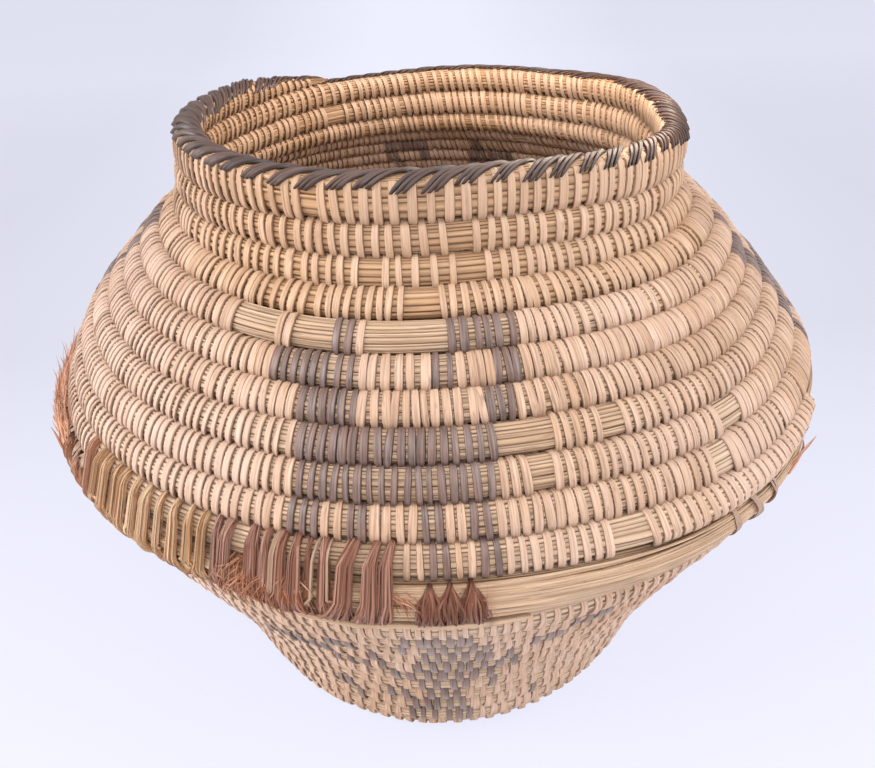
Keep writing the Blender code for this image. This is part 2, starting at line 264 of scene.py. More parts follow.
@dataclass(frozen=True)
class Settling:
    """How the old basket has moved from a true round.

    A row of the profile is a height in metres and how far out the right and the left side are
    there, in millimetres. A wave is its size, its count round the basket, its phase and how
    fast it turns with height.
    """

    profile: tuple[tuple[float, float, float], ...] = (
        (0.0, 0.0, 0.0), (0.03, -6.1, -3.9), (0.07, -6.8, -6.3), (0.11, -5.5, -6.5),
        (0.15, -5.1, -5.7), (0.185, -4.4, -6.1), (0.21, -2.4, -7.4), (0.235, 1.3, -0.6),
        (0.247, 6.0, -0.4), (0.26, 1.8, -0.2), (0.28, -2.5, 1.5), (0.305, -3.5, 2.5),
        (0.32, -0.5, 2.0), (0.345, -2.0, 1.0), (0.372, 2.5, -1.0), (0.42, 2.0, -8.0),
    )
    sway_waves: tuple[tuple[float, ...], ...] = ((1.0, 3, 0.8, 6.0), (0.6, 5, 2.1, -14.0))
    lift_waves: tuple[tuple[float, ...], ...] = ((0.5, 4, 1.3, 0.0), (0.4, 7, 0.4, 0.0))
    sway: float = 0.8 * MM
    free_heights: tuple[float, float] = (0.02, 0.12)
    side_blend: float = 0.3
    still_angle: float = 0.1
    turning_angle: float = 0.5
    wider_above: float = 0.4
    wider_heights: tuple[float, float] = (0.24, 0.29)
    front_inset: float = 4.0 * MM
    inset_heights: tuple[float, float, float, float] = (0.005, 0.07, 0.155, 0.218)
    least_reach: float = 0.1
    floor_film: float = 0.9 * MM

    @staticmethod
    def waves(azimuth: np.ndarray, height: np.ndarray, parts: tuple[tuple[float, ...], ...]) -> np.ndarray:
        """The sum of some waves at each point."""
        return sum(
            size * np.sin(count * azimuth + phase + turn * height) for size, count, phase, turn in parts
        )

    def apply(self, places: np.ndarray) -> np.ndarray:
        """Moves points from the true round to where the settled basket has them.

        Args:
            places: the points, with X, Y and Z on the last axis.

        Returns:
            The moved points, none of them below the floor.
        """
        x, y, z = np.moveaxis(places, -1, 0)
        azimuth = np.arctan2(x, -y)
        heights, right, left = np.array(self.profile).T
        turned = eased(np.sin(azimuth), -self.side_blend, self.side_blend)
        swell = turned * np.interp(z, heights, right) + (1 - turned) * np.interp(z, heights, left)
        wider = self.wider_above * eased(z, *self.wider_heights)
        side = eased((np.abs(azimuth) - self.still_angle - wider) / (self.turning_angle + wider), 0.0, 1.0)
        low, full, high, gone = self.inset_heights
        under = eased(z, low, full) * (1 - eased(z, high, gone))
        swell = swell * MM * side - under * self.front_inset * (1 - side)
        free = eased(z, *self.free_heights)
        sway = free * self.sway * self.waves(azimuth, z, self.sway_waves)
        grown = 1 + (swell + sway) / np.maximum(np.hypot(x, y), self.least_reach)
        height = z + free * self.sway * self.waves(azimuth, z, self.lift_waves)
        film = self.floor_film * np.exp(np.minimum(height / self.floor_film - 1, 0.0))
        height = np.where(height < self.floor_film, film, height)
        return np.stack((x * grown, y * grown, height), axis=-1)


@dataclass
class Winding:
    """The spiral of the bundle: where its middle is, how thick it is and how it leans.

    The belly's middle and skin are in millimetres up and out, where the bundle is full.
    """

    outline: Outline = field(default_factory=Outline)
    settling: Settling = field(default_factory=Settling)
    wall_radius: float = 10.4 * MM
    belly_radius: float = 13.5 * MM
    shoulder_radius: float = 8.25 * MM
    gap: float = 0.45 * MM
    button: float = 24.0 * MM
    tip_share: float = 0.3
    rim_tip_share: float = 0.15
    belly_ramp: int = 3
    belly_middle: tuple[float, float] = (3.0, -1.5)
    belly_skin: tuple[float, float] = (10.3, 9.4)
    rim_taper: int = 2
    rim_lift_from: float = -0.6
    rim_points: tuple[float, ...] = (662.0, 667.5, 670.0, 673.0, 676.0, 680.0, 683.0, 686.0)
    rim_lifts: tuple[float, ...] = (0.0, 0.0, 2.0 * MM, 6.5 * MM, 6.0 * MM, 4.5 * MM, 0.5 * MM, 0.0)
    rounds: int = 6
    shortest: float = 1e-9
    numbers: np.ndarray = field(init=False)
    radius: np.ndarray = field(init=False)
    out: np.ndarray = field(init=False)
    up: np.ndarray = field(init=False)
    lean: np.ndarray = field(init=False)

    def __post_init__(self) -> None:
        """Winds the bundle, each turn one gap outside the turn before it."""
        line = self.outline.line()
        lengths = np.concatenate(([0.0], np.cumsum(np.linalg.norm(np.diff(line, axis=0), axis=1))))

        def at(along: np.ndarray | float) -> tuple[np.ndarray, np.ndarray]:
            """The radius and the height at a distance along the line."""
            return np.interp(along, lengths, line[:, 0]), np.interp(along, lengths, line[:, 1])

        self.numbers = np.arange(Stretch.RIM.last + 1)
        self.radius = self.thickness()
        along = np.zeros(len(self.numbers))
        along[:PER_TURN] = self.button + self.gap + self.radius[:PER_TURN]
        for number in range(PER_TURN, len(along)):
            below = along[number - PER_TURN]
            distance = self.radius[number - PER_TURN] + self.radius[number] + self.gap
            here, found = at(below), below + distance
            for _ in range(self.rounds):
                there = at(found)
                found += distance - math.hypot(there[0] - here[0], there[1] - here[1])
            along[number] = found
        self.out, self.up = at(along)
        reach = self.wall_radius / 2
        ahead, behind = at(along + reach), at(np.maximum(along - reach, 0.0))
        self.lean = np.arctan2(ahead[1] - behind[1], ahead[0] - behind[0])

    def thickness(self) -> np.ndarray:
        """The bundle's radius at every point: it swells at the belly and tapers at its tips."""
        number = self.numbers
        start, end = Stretch.BELLY.first, Stretch.BELLY.last
        swell = eased(number, 0, PER_TURN)
        radius = self.wall_radius * (self.tip_share + (1 - self.tip_share) * swell)
        belly_in = self.wall_radius + (self.belly_radius - self.wall_radius) * eased(
            number, start, start + self.belly_ramp
        )
        radius = np.where(number > start, belly_in, radius)
        belly_out = self.shoulder_radius + (self.belly_radius - self.shoulder_radius) * eased(
            -number, -end, -end + self.belly_ramp
        )
        radius = np.where(number > start + self.belly_ramp, belly_out, radius)
        taper = eased(-number, -Stretch.RIM.last, -Stretch.RIM.last + self.rim_taper)
        tip = self.shoulder_radius * (self.rim_tip_share + (1 - self.rim_tip_share) * taper)
        return np.where(number > end, tip, radius)

    def thick(self, index: np.ndarray) -> np.ndarray:
        """The bundle's radius at any point of the winding."""
        return np.interp(index, self.numbers, self.radius)

    def reach(self, index: np.ndarray) -> np.ndarray:
        """The distance of the bundle's middle from the basket's axis."""
        return np.interp(index, self.numbers, self.out)

    def height(self, index: np.ndarray) -> np.ndarray:
        """The height of the bundle's middle."""
        return np.interp(index, self.numbers, self.up)

    def slope(self, index: np.ndarray) -> np.ndarray:
        """The angle of the wall over the horizontal."""
        return np.interp(index, self.numbers, self.lean)

    def step_length(self, index: np.ndarray) -> np.ndarray:
        """The metres along the bundle from one winding point to the next."""
        return self.reach(index) * POINT_STEP

    def place(self, index: np.ndarray, rise: np.ndarray, stand: np.ndarray) -> np.ndarray:
        """Places points that are given by where they are round the bundle.

        Args:
            index: the point of the winding, with a fraction.
            rise: the distance up the wall from the bundle's middle.
            stand: the distance out from the bundle's middle, square to the wall.

        Returns:
            The settled points, with X, Y and Z on a new last axis.
        """
        index, rise, stand = np.broadcast_arrays(index, rise, stand)
        slope = self.slope(index)
        reach = self.reach(index) + np.cos(slope) * rise + np.sin(slope) * stand
        height = self.height(index) + np.sin(slope) * rise - np.cos(slope) * stand
        lift = np.interp(index, self.rim_points, self.rim_lifts, left=0.0)
        height = height + lift * eased(rise, self.rim_lift_from * self.shoulder_radius, self.shoulder_radius)
        azimuth = SPLICE_AZIMUTH - index * POINT_STEP
        places = np.stack((reach * np.sin(azimuth), -reach * np.cos(azimuth), height), axis=-1)
        return self.settling.apply(places)

    def belly(self, index: np.ndarray, angle: np.ndarray, lift: np.ndarray) -> tuple[np.ndarray, np.ndarray]:
        """The skin of the belly bundle, which lies high and flat in the space of its solid.

        Args:
            index: the winding points.
            angle: the angle round the bundle from the next turn, negative outside.
            lift: the distance off the skin.

        Returns:
            How far up the wall, and how far out from it, each point is.
        """
        share = self.thick(index) / self.belly_radius
        middle, skin = self.belly_middle, self.belly_skin
        rise = share * middle[0] * MM + (share * skin[0] * MM + lift) * np.cos(angle)
        stand = share * middle[1] * MM - (share * skin[1] * MM + lift) * np.sin(angle)
        return rise, stand

    def upper_turn(
        self, index: np.ndarray, rise: np.ndarray, stand: np.ndarray
    ) -> tuple[np.ndarray, np.ndarray]:
        """Turns places round the turn above into places round this turn.

        Args:
            index: the winding points of this turn.
            rise: how far up the wall from the middle of the turn above.
            stand: how far out from the middle of the turn above.

        Returns:
            How far up the wall, and how far out, from the middle of this turn.
        """
        above = index + PER_TURN
        across, higher = self.reach(above) - self.reach(index), self.height(above) - self.height(index)
        slope = self.slope(index)
        bend = self.slope(above) - slope
        up = np.cos(slope) * across + np.sin(slope) * higher
        out = np.sin(slope) * across - np.cos(slope) * higher
        up = up + np.cos(bend) * rise + np.sin(bend) * stand
        return up, out - np.sin(bend) * rise + np.cos(bend) * stand

    def strands(
        self, index: np.ndarray, rise: np.ndarray, stand: np.ndarray, radius: np.ndarray, sides: int
    ) -> np.ndarray:
        """Round strands that run along the bundle.

        Args:
            index: the winding point of each ring of each strand.
            rise: how far up the wall each ring is.
            stand: how far out each ring is.
            radius: the strand's radius at each ring.
            sides: the sides of a strand.

        Returns:
            The points, by strand, ring and side.
        """
        turn = np.linspace(0.0, 2 * math.pi, sides, endpoint=False)
        across = rise[..., None] + radius[..., None] * np.cos(turn)
        outward = stand[..., None] - radius[..., None] * np.sin(turn)
        return self.place(index[..., None], across, outward)

    def straps(
        self,
        index: np.ndarray,
        rise: np.ndarray,
        stand: np.ndarray,
        half_width: np.ndarray,
        height: np.ndarray,
        section: np.ndarray,
        tilt: np.ndarray,
    ) -> np.ndarray:
        """Flat straps that run across the bundle.

        Args:
            index: the winding point of each ring of each strap.
            rise: how far up the wall each ring is.
            stand: how far out each ring is.
            half_width: half of the strap's width at each ring.
            height: the strap's thickness at each ring.
            section: the section's points, as shares of the half width and of the thickness.
            tilt: how much of its thickness each strap's one edge is raised by, and the other lowered.

        Returns:
            The points, by strap, ring and side.
        """
        along_rise = np.gradient(rise, axis=-1)
        along_stand = np.gradient(stand, axis=-1)
        length = np.maximum(np.hypot(along_rise, along_stand), self.shortest)
        side, lift = section[:, 0], section[:, 1]
        raised = height[..., None] * (lift + tilt[:, None, None] * side)
        up = rise[..., None] - (along_stand / length)[..., None] * raised
        out = stand[..., None] + (along_rise / length)[..., None] * raised
        shift = side * half_width[..., None] / self.step_length(index)[..., None]
        return self.place(index[..., None] - shift, up, out)


@dataclass
class Wiring:
    """Adds and joins the nodes of one node tree."""

    tree: bpy.types.NodeTree

    def add(
        self, kind: str, settings: dict[str, str | bool], inputs: dict[int | str, Value]
    ) -> bpy.types.Node:
        """Adds a node.

        Args:
            kind: the node's Blender type.
            settings: its settings by name.
            inputs: its inputs by name or number, each a value or another node's output.

        Returns:
            The node.
        """
        node = self.tree.nodes.new(kind)
        for name, value in settings.items():
            setattr(node, name, value)
        for name, value in inputs.items():
            if isinstance(value, bpy.types.NodeSocket):
                self.tree.links.new(value, node.inputs[name])
            else:
                node.inputs[name].default_value = value
        return node

    def maths(self, operation: str, first: Value, second: Value = 0.0) -> bpy.types.NodeSocket:
        """The output of a Math node on two values."""
        node = self.add("ShaderNodeMath", {"operation": operation}, {0: first, 1: second})
        return node.outputs[0]

    def mixed(self, share: Value, first: Value, second: Value) -> bpy.types.NodeSocket:
        """The output of a Mix node on two colours."""
        node = self.add("ShaderNodeMix", {"data_type": "RGBA"}, {0: share, 6: first, 7: second})
        return node.outputs[2]

    def ranged(self, value: Value, low: float, high: float, start: Value, end: Value) -> bpy.types.NodeSocket:
        """The output of a Map Range node, clamped."""
        inputs = {"Value": value, "From Min": low, "From Max": high, "To Min": start, "To Max": end}
        return self.add("ShaderNodeMapRange", {"clamp": True}, inputs).outputs[0]


def new_group(
    name: str, inputs: dict[str, str], outputs: dict[str, str]
) -> tuple[Wiring, bpy.types.Node, bpy.types.Node]:
    """Starts a shader node group.

    Args:
        name: the group's name.
        inputs: the socket type of each input, by name.
        outputs: the socket type of each output, by name.

    Returns:
        The group's wiring, its input node and its output node.
    """
    tree = bpy.data.node_groups.new(name, "ShaderNodeTree")
    for label, kind in inputs.items():
        tree.interface.new_socket(name=label, in_out="INPUT", socket_type=kind)
    for label, kind in outputs.items():
        tree.interface.new_socket(name=label, in_out="OUTPUT", socket_type=kind)
    wiring = Wiring(tree)
    return wiring, wiring.add("NodeGroupInput", {}, {}), wiring.add("NodeGroupOutput", {}, {})


# Each noise: how fine it is along and across, its seed, and the levels where it starts and is full.
FIBRE_NOISES = (
    ("Fibres", 0.8, 1.9, 0.0, 0.32, 0.6),
    ("Streaks", 0.6, 1.0, 7.0, 0.35, 0.65),
    ("Marks", 2.2, 0.7, 3.0, 0.6, 0.72),
)
NOISE_DETAIL = 2.0
NOISE_ROUGHNESS = 0.6
FADING_DETAIL = 4.0
FADING_LEVELS = (0.4, 0.62)


def fibre_group() -> bpy.types.NodeTree:
    """The fine lengthwise fibres of a plant strand, from its own UV map."""
    inputs = {"Along": "NodeSocketFloat", "Across": "NodeSocketFloat"}
    outputs = {"Fibres": "NodeSocketFloat", "Streaks": "NodeSocketFloat", "Marks": "NodeSocketFloat"}
    wiring, given, made = new_group("plant fibres", inputs, outputs)
    strand = wiring.add("ShaderNodeUVMap", {"uv_map": "strand"}, {})
    parts = wiring.add("ShaderNodeSeparateXYZ", {}, {0: strand.outputs[0]})
    for label, along, across, seed, low, high in FIBRE_NOISES:
        place = wiring.add("ShaderNodeCombineXYZ", {}, {2: seed})
        for number, (side, share) in enumerate((("Along", along), ("Across", across))):
            scale = wiring.maths("MULTIPLY", given.outputs[side], share)
            drawn = wiring.maths("MULTIPLY", parts.outputs[number], scale)
            wiring.tree.links.new(drawn, place.inputs[number])
        values = {
            "Vector": place.outputs[0], "Scale": 1.0, "Detail": NOISE_DETAIL, "Roughness": NOISE_ROUGHNESS,
        }
        noise = wiring.add("ShaderNodeTexNoise", {}, values)
        wiring.tree.links.new(wiring.ranged(noise.outputs[0], low, high, 0.0, 1.0), made.inputs[label])
    return wiring.tree


def wear_group() -> bpy.types.NodeTree:
    """Broad uneven fading over the whole basket, on object coordinates."""
    inputs, outputs = {"Scale": "NodeSocketFloat"}, {"Fading": "NodeSocketFloat"}
    wiring, given, made = new_group("uneven wear", inputs, outputs)
    place = wiring.add("ShaderNodeTexCoord", {}, {}).outputs["Object"]
    values = {"Vector": place, "Scale": given.outputs["Scale"], "Detail": FADING_DETAIL}
    noise = wiring.add("ShaderNodeTexNoise", {}, values)
    fading = wiring.ranged(noise.outputs[0], *FADING_LEVELS, 0.0, 1.0)
    wiring.tree.links.new(fading, made.inputs["Fading"])
    return wiring.tree


@dataclass(frozen=True)
class Grain:
    """How fine a finish's fibres are, how strongly its marks show, and its range of roughness."""

    along: float
    across: float
    streaks: float
    marks: float
    creases: float
    fading: float
    roughness: tuple[float, float]


@dataclass(frozen=True)
class FibreFinish:
    """A plant-fibre finish: straw, splint, bark or rod."""

    name: str
    low: Colour
    high: Colour
    streak: Colour
    # The dark colour: real dirt where the fibres crease and are marked, and painted shade where the shade
    # attribute sets it.
    dirt_and_shade: Colour
    # The faded colour of broad patches of wear; on the dark and rim splints this greyer colour is also
    # painted sheen.
    faded_and_sheen: Colour
    grain: Grain
    relief: float = 0.25 * MM
    bump: float = 0.8
    wear_scale: float = 9.0

    def material(self, fibres: bpy.types.NodeTree, wear: bpy.types.NodeTree) -> bpy.types.Material:
        """Builds the material.

        Args:
            fibres: the group of lengthwise fibres.
            wear: the group of uneven wear.

        Returns:
            The material, which reads each strand's UV map, tint and shade.
        """
        material = bpy.data.materials.new(self.name)
        material.use_nodes = True
        wiring = Wiring(material.node_tree)
        shader = material.node_tree.nodes["Principled BSDF"]
        fineness = {"Along": self.grain.along, "Across": self.grain.across}
        strand = wiring.add("ShaderNodeGroup", {"node_tree": fibres}, fineness)
        worn = wiring.add("ShaderNodeGroup", {"node_tree": wear}, {"Scale": self.wear_scale})
        tint = wiring.add("ShaderNodeAttribute", {"attribute_name": "tint"}, {}).outputs["Fac"]
        shade = wiring.add("ShaderNodeAttribute", {"attribute_name": "shade"}, {}).outputs["Fac"]
        colour = wiring.mixed(tint, (*self.low, 1.0), (*self.high, 1.0))
        layers = (
            (strand.outputs["Streaks"], self.grain.streaks, self.streak),
            (wiring.maths("SUBTRACT", 1.0, strand.outputs["Fibres"]), self.grain.creases, self.dirt_and_shade),
            (strand.outputs["Marks"], self.grain.marks, self.dirt_and_shade),
            (worn.outputs["Fading"], self.grain.fading, self.faded_and_sheen),
        )
        for mask, strength, layer in layers:
            colour = wiring.mixed(wiring.maths("MULTIPLY", mask, strength), colour, (*layer, 1.0))
        # Painted shade: the shade attribute darkens the colour towards the dark colour in valleys, at edges
        # and ends, and under the lashings.
        colour = wiring.mixed(shade, colour, (*self.dirt_and_shade, 1.0))
        wiring.tree.links.new(colour, shader.inputs["Base Color"])
        gloss = wiring.ranged(strand.outputs["Streaks"], 0.0, 1.0, *self.grain.roughness)
        wiring.tree.links.new(gloss, shader.inputs["Roughness"])
        values = {"Strength": self.bump, "Distance": self.relief, "Height": strand.outputs["Fibres"]}
        bump = wiring.add("ShaderNodeBump", {}, values)
        wiring.tree.links.new(bump.outputs[0], shader.inputs["Normal"])
        return material


class Finish(Enum):
    """The finishes of the basket."""

    PALE_SPLINT = FibreFinish(
        "pale_splint", (0.42, 0.24, 0.135), (0.66, 0.455, 0.335), (0.46, 0.27, 0.155), (0.09, 0.036, 0.017),
        (0.64, 0.475, 0.395), Grain(45.0, 2.2, 0.6, 0.45, 0.5, 0.4, (0.5, 0.72)),
    )
    NECK_SPLINT = FibreFinish(
        "neck_splint", (0.42, 0.24, 0.13), (0.66, 0.435, 0.28), (0.44, 0.25, 0.13), (0.09, 0.035, 0.015),
        (0.63, 0.45, 0.34), Grain(45.0, 2.2, 0.6, 0.45, 0.5, 0.4, (0.48, 0.7)),
    )
    # The dark splint's faded colour is partly painted sheen: its grey sheen, laid over the broad patches of
    # wear.
    DARK_SPLINT = FibreFinish(
        "dark_splint", (0.085, 0.052, 0.046), (0.23, 0.165, 0.15), (0.24, 0.105, 0.06), (0.022, 0.012, 0.01),
        (0.28, 0.215, 0.195), Grain(40.0, 2.2, 0.55, 0.4, 0.75, 0.4, (0.28, 0.5)),
    )
    # The rim splint's faded colour is partly painted sheen, as on the dark splint.
    RIM_SPLINT = FibreFinish(
        "rim_splint", (0.02, 0.014, 0.013), (0.16, 0.095, 0.078), (0.24, 0.09, 0.04), (0.01, 0.006, 0.005),
        (0.12, 0.09, 0.084), Grain(40.0, 2.2, 0.5, 0.4, 0.75, 0.35, (0.34, 0.52)),
    )
    STRAW = FibreFinish(
        "coil_straw", (0.42, 0.26, 0.15), (0.74, 0.55, 0.39), (0.58, 0.38, 0.225), (0.09, 0.038, 0.018),
        (0.66, 0.51, 0.39), Grain(24.0, 1.3, 0.5, 0.4, 0.55, 0.35, (0.4, 0.62)),
    )
    NECK_STRAW = FibreFinish(
        "neck_straw", (0.30, 0.145, 0.06), (0.62, 0.38, 0.205), (0.46, 0.24, 0.10), (0.07, 0.026, 0.011),
        (0.52, 0.345, 0.215), Grain(24.0, 1.3, 0.5, 0.4, 0.55, 0.35, (0.4, 0.62)),
    )
    BARE_STRAW = FibreFinish(
        "bare_straw", (0.36, 0.20, 0.105), (0.62, 0.44, 0.29), (0.44, 0.27, 0.155), (0.11, 0.045, 0.02),
        (0.58, 0.42, 0.30), Grain(20.0, 1.3, 0.5, 0.45, 0.6, 0.3, (0.36, 0.6)),
    )
    BARK = FibreFinish(
        "bark", (0.29, 0.098, 0.052), (0.86, 0.50, 0.385), (0.54, 0.19, 0.075), (0.04, 0.012, 0.007),
        (0.56, 0.38, 0.325), Grain(40.0, 1.7, 0.55, 0.5, 0.65, 0.45, (0.45, 0.75)),
    )
    TUFT = FibreFinish(
        "tuft_fibre", (0.17, 0.052, 0.028), (0.42, 0.17, 0.105), (0.46, 0.14, 0.045), (0.035, 0.01, 0.006),
        (0.38, 0.22, 0.185), Grain(40.0, 1.7, 0.65, 0.5, 0.6, 0.35, (0.45, 0.75)),
    )
    OCHRE_BARK = FibreFinish(
        "ochre_bark", (0.66, 0.28, 0.085), (1.0, 0.74, 0.42), (0.82, 0.40, 0.14), (0.05, 0.017, 0.007),
        (0.86, 0.64, 0.50), Grain(40.0, 1.7, 0.5, 0.45, 0.55, 0.3, (0.42, 0.7)),
    )
    RED_BARK = FibreFinish(
        "red_bark", (0.38, 0.125, 0.058), (0.88, 0.50, 0.32), (0.56, 0.20, 0.075), (0.04, 0.01, 0.005),
        (0.60, 0.36, 0.26), Grain(40.0, 1.7, 0.5, 0.5, 0.55, 0.3, (0.42, 0.7)),
    )
    ROD = FibreFinish(
        "rod_wood", (0.50, 0.32, 0.19), (0.64, 0.45, 0.30), (0.50, 0.32, 0.19), (0.14, 0.07, 0.04),
        (0.60, 0.44, 0.32), Grain(20.0, 5.0, 0.5, 0.3, 0.4, 0.3, (0.35, 0.55)),
    )


@dataclass
class Palette:
    """The materials, each built once."""

    made: dict[Finish, bpy.types.Material] = field(default_factory=dict)

    def __post_init__(self) -> None:
        """Builds every finish of the basket."""
        fibres, wear = fibre_group(), wear_group()
        self.made = {finish: finish.value.material(fibres, wear) for finish in Finish}


@dataclass
class Tubes:
    """A piece made of many closed tubes, which are copies of one template."""

    name: str
    rings: int
    sides: int

    def template(self) -> bpy.types.Mesh:
        """One upright tube with its rings a metre apart, closed at both ends."""
        shape = bmesh.new()
        bmesh.ops.create_cone(
            shape, cap_ends=True, segments=self.sides, radius1=1.0, radius2=1.0, depth=self.rings - 1
        )
        upright = [edge for edge in shape.edges if abs(edge.verts[0].co.z - edge.verts[1].co.z) > 0.5]
        if self.rings > 2:
            bmesh.ops.subdivide_edges(shape, edges=upright, cuts=self.rings - 2)
        mesh = bpy.data.meshes.new(self.name)
        shape.to_mesh(mesh)
        shape.free()
        return mesh

    def build(
        self,
        places: np.ndarray,
        strand: np.ndarray,
        tint: np.ndarray | float,
        shade: np.ndarray | float = 0.0,
        sharp: float = ROUND_EDGE,
    ) -> bpy.types.Object:
        """Copies the template and moves every copy's points to their places.

        Args:
            places: the points, by tube, ring and side.
            strand: each point's UV: metres along the tube, then the tube's number and a share.
            tint: each point's place between the finish's low and high colours.
            shade: each point's share of the finish's dark colour: painted shade in valleys, at edges and ends
                and under the lashings, and the rod's darker knot.
            sharp: the least angle of a sharp edge, in degrees.

        Returns:
            The piece.
        """
        template = self.template()
        own = np.array([vertex.co for vertex in template.vertices])
        ring = np.rint(own[:, 2] + (self.rings - 1) / 2).astype(int)
        start = np.arctan2(own[0, 1], own[0, 0])
        turn = (np.arctan2(own[:, 1], own[:, 0]) - start) / (2 * math.pi) * self.sides
        side = np.rint(turn).astype(int) % self.sides
        shape = bmesh.new()
        for _ in range(len(places)):
            shape.from_mesh(template)
        mesh = bpy.data.meshes.new(self.name)
        shape.to_mesh(mesh)
        shape.free()
        bpy.data.meshes.remove(template)
        mesh.vertices.foreach_set("co", places[:, ring, side].astype(np.float32).ravel())
        for label, values in (("tint", tint), ("shade", shade)):
            spread = np.broadcast_to(values, places.shape[:3])[:, ring, side]
            layer = mesh.attributes.new(label, "FLOAT", "POINT")
            layer.data.foreach_set("value", spread.astype(np.float32).ravel())
        corners = np.empty(len(mesh.loops), np.int32)
        mesh.loops.foreach_get("vertex_index", corners)
        flat = strand[:, ring, side].reshape(-1, 2)[corners]
        mesh.uv_layers.new(name="strand").uv.foreach_set("vector", flat.astype(np.float32).ravel())
        mesh.shade_smooth()
        mesh.set_sharp_from_angle(angle=math.radians(sharp))
        mesh.update()
        return bpy.data.objects.new(self.name, mesh)


@dataclass
class Workshop:
    """Dresses each finished piece: its finish, its body and the nodes it stands for."""

    palette: Palette
    faces: int = 0

    def deliver(self, piece: bpy.types.Object, finish: Finish, slot: str, nodes: tuple[str, ...]) -> None:
        """Adds a piece to the scene.

        Args:
            piece: the piece.
            finish: its finish.
            slot: not used.
            nodes: the CAD nodes that it replaces.
        """
        bpy.context.scene.collection.objects.link(piece)
        piece.data.materials.append(self.palette.made[finish])
        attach(piece, ROOT)
        if nodes:
            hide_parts(*nodes)
        piece.data.calc_loop_triangles()
        count = len(piece.data.loop_triangles)
        self.faces += count
        LOG.info("%s: %d triangles", piece.name, count)


@dataclass
class StrawCoil:
    """The straws of one length of the bundle, as one closed ridged tube."""

    name: str
    first: float
    last: float
    straws: int
    seed: int
    ring_length: float = 8.0 * MM
    valley: float = 0.7 * MM
    unevenness: float = 0.3 * MM
    rise_share: float = 0.985
    tip_rings: int = 0
    at_belly: bool = False
    # The winding points between which the straw is darkened by painted shade, under the lashings.
    dim: tuple[float, float] = (0.0, 0.0)

    FINE_POINTS = 2000
    LEAST_RINGS = 8
    RIDGE = np.array((0.0, 0.2, 0.5, 0.8))
    WANDER = ((0.22, 3.1), (0.1, 9.7))
    WIDTHS = (0.45, 1.55)
    WAVES = (9.0, 30.0)
    WAVE_PHASES = (0.0, 6.3)
    SECOND_WAVE = 0.37
    STAND_SHARE = 0.90
    SQUARENESS = 0.62
    RISE_LIFT = 0.6
    TIP_SHARE = 0.25
    TINTS = (0.15, 1.0)
    TINT_WAVE = 0.22
    TINT_SPEED = 0.4
    # Painted shade in the valleys between the straws, and how fast it grows with their depth.
    GROOVE_SHADE = 0.75
    GROOVE_SHADE_POWER = 1.6
    DIM = 0.6
    DIM_EDGE = 0.2

    def build(self, winding: Winding) -> bpy.types.Object:
        """Builds the tube.

        Args:
            winding: the spiral that it follows.

        Returns:
            The piece.
        """
        random = np.random.default_rng(self.seed)
        fine = np.linspace(self.first, self.last, self.FINE_POINTS)
        length = np.concatenate(([0.0], np.cumsum(winding.step_length(fine)[:-1] * np.diff(fine))))
        rings = max(int(length[-1] / self.ring_length), self.LEAST_RINGS)
        along = np.linspace(0.0, length[-1], rings)
        index = np.interp(along, length, fine)
        sides = self.straws * len(self.RIDGE)
        number, point = np.divmod(np.arange(sides), len(self.RIDGE))
        share = self.RIDGE[point]
        (wide, slow), (narrow, quick) = self.WANDER
        wander = wide * np.sin(along * slow + random.uniform(*PHASES)) + narrow * np.sin(along * quick)
        widths = random.uniform(*self.WIDTHS, self.straws)
        starts = np.concatenate(([0.0], np.cumsum(widths)[:-1])) / widths.sum()
        turn = starts[number] + share * widths[number] / widths.sum()
        angle = 2 * math.pi * turn + wander[:, None]
        crown = np.sqrt(1 - (2 * share - 1) ** 2) - 1
        waves = random.uniform(*self.WAVES, self.straws)
        phases = random.uniform(*self.WAVE_PHASES, self.straws)
        proud = np.sin(along[:, None] * waves + phases)
        proud = proud * np.sin(along[:, None] * waves * self.SECOND_WAVE + 2 * phases)
        lift = self.valley * widths[number] * crown + self.unevenness * proud[:, number] * (crown + 1)
        taper = np.ones(rings)
        if self.tip_rings:
            taper[: self.tip_rings] = np.linspace(self.TIP_SHARE, 1.0, self.tip_rings)
        if self.at_belly:
            rise, stand = winding.belly(index[:, None], angle, lift)
        else:
            radius = winding.thick(index)[:, None]
            flat = np.sign(np.sin(angle)) * np.abs(np.sin(angle)) ** self.SQUARENESS
            rise = (radius * self.rise_share + lift * self.RISE_LIFT) * np.cos(angle)
            stand = -(radius * self.STAND_SHARE + lift) * flat
        places = winding.place(index[:, None], rise * taper[:, None], stand * taper[:, None])[None]
        tint_waves = np.sin(along[:, None] * waves * self.TINT_SPEED + 3 * phases) * self.TINT_WAVE
        tint = np.clip(random.uniform(*self.TINTS, self.straws) + tint_waves, 0, 1)[:, number]
        # Painted shade on the belly straw between the two dim points, under the ochre and red lashings.
        dim = self.DIM * eased(index, self.dim[0], self.dim[0] + self.DIM_EDGE)
        dim = dim * (1 - eased(index, self.dim[1] - self.DIM_EDGE, self.dim[1]))
        # Painted shade, darkest in the valleys between the straws.
        shade = np.clip(self.GROOVE_SHADE * (-crown) ** self.GROOVE_SHADE_POWER + dim[:, None], 0, 1)
        strand = strand_map(along[:, None], (number + share)[None])[None]
        return Tubes(self.name, rings, sides).build(places, strand, tint[None], shade[None])


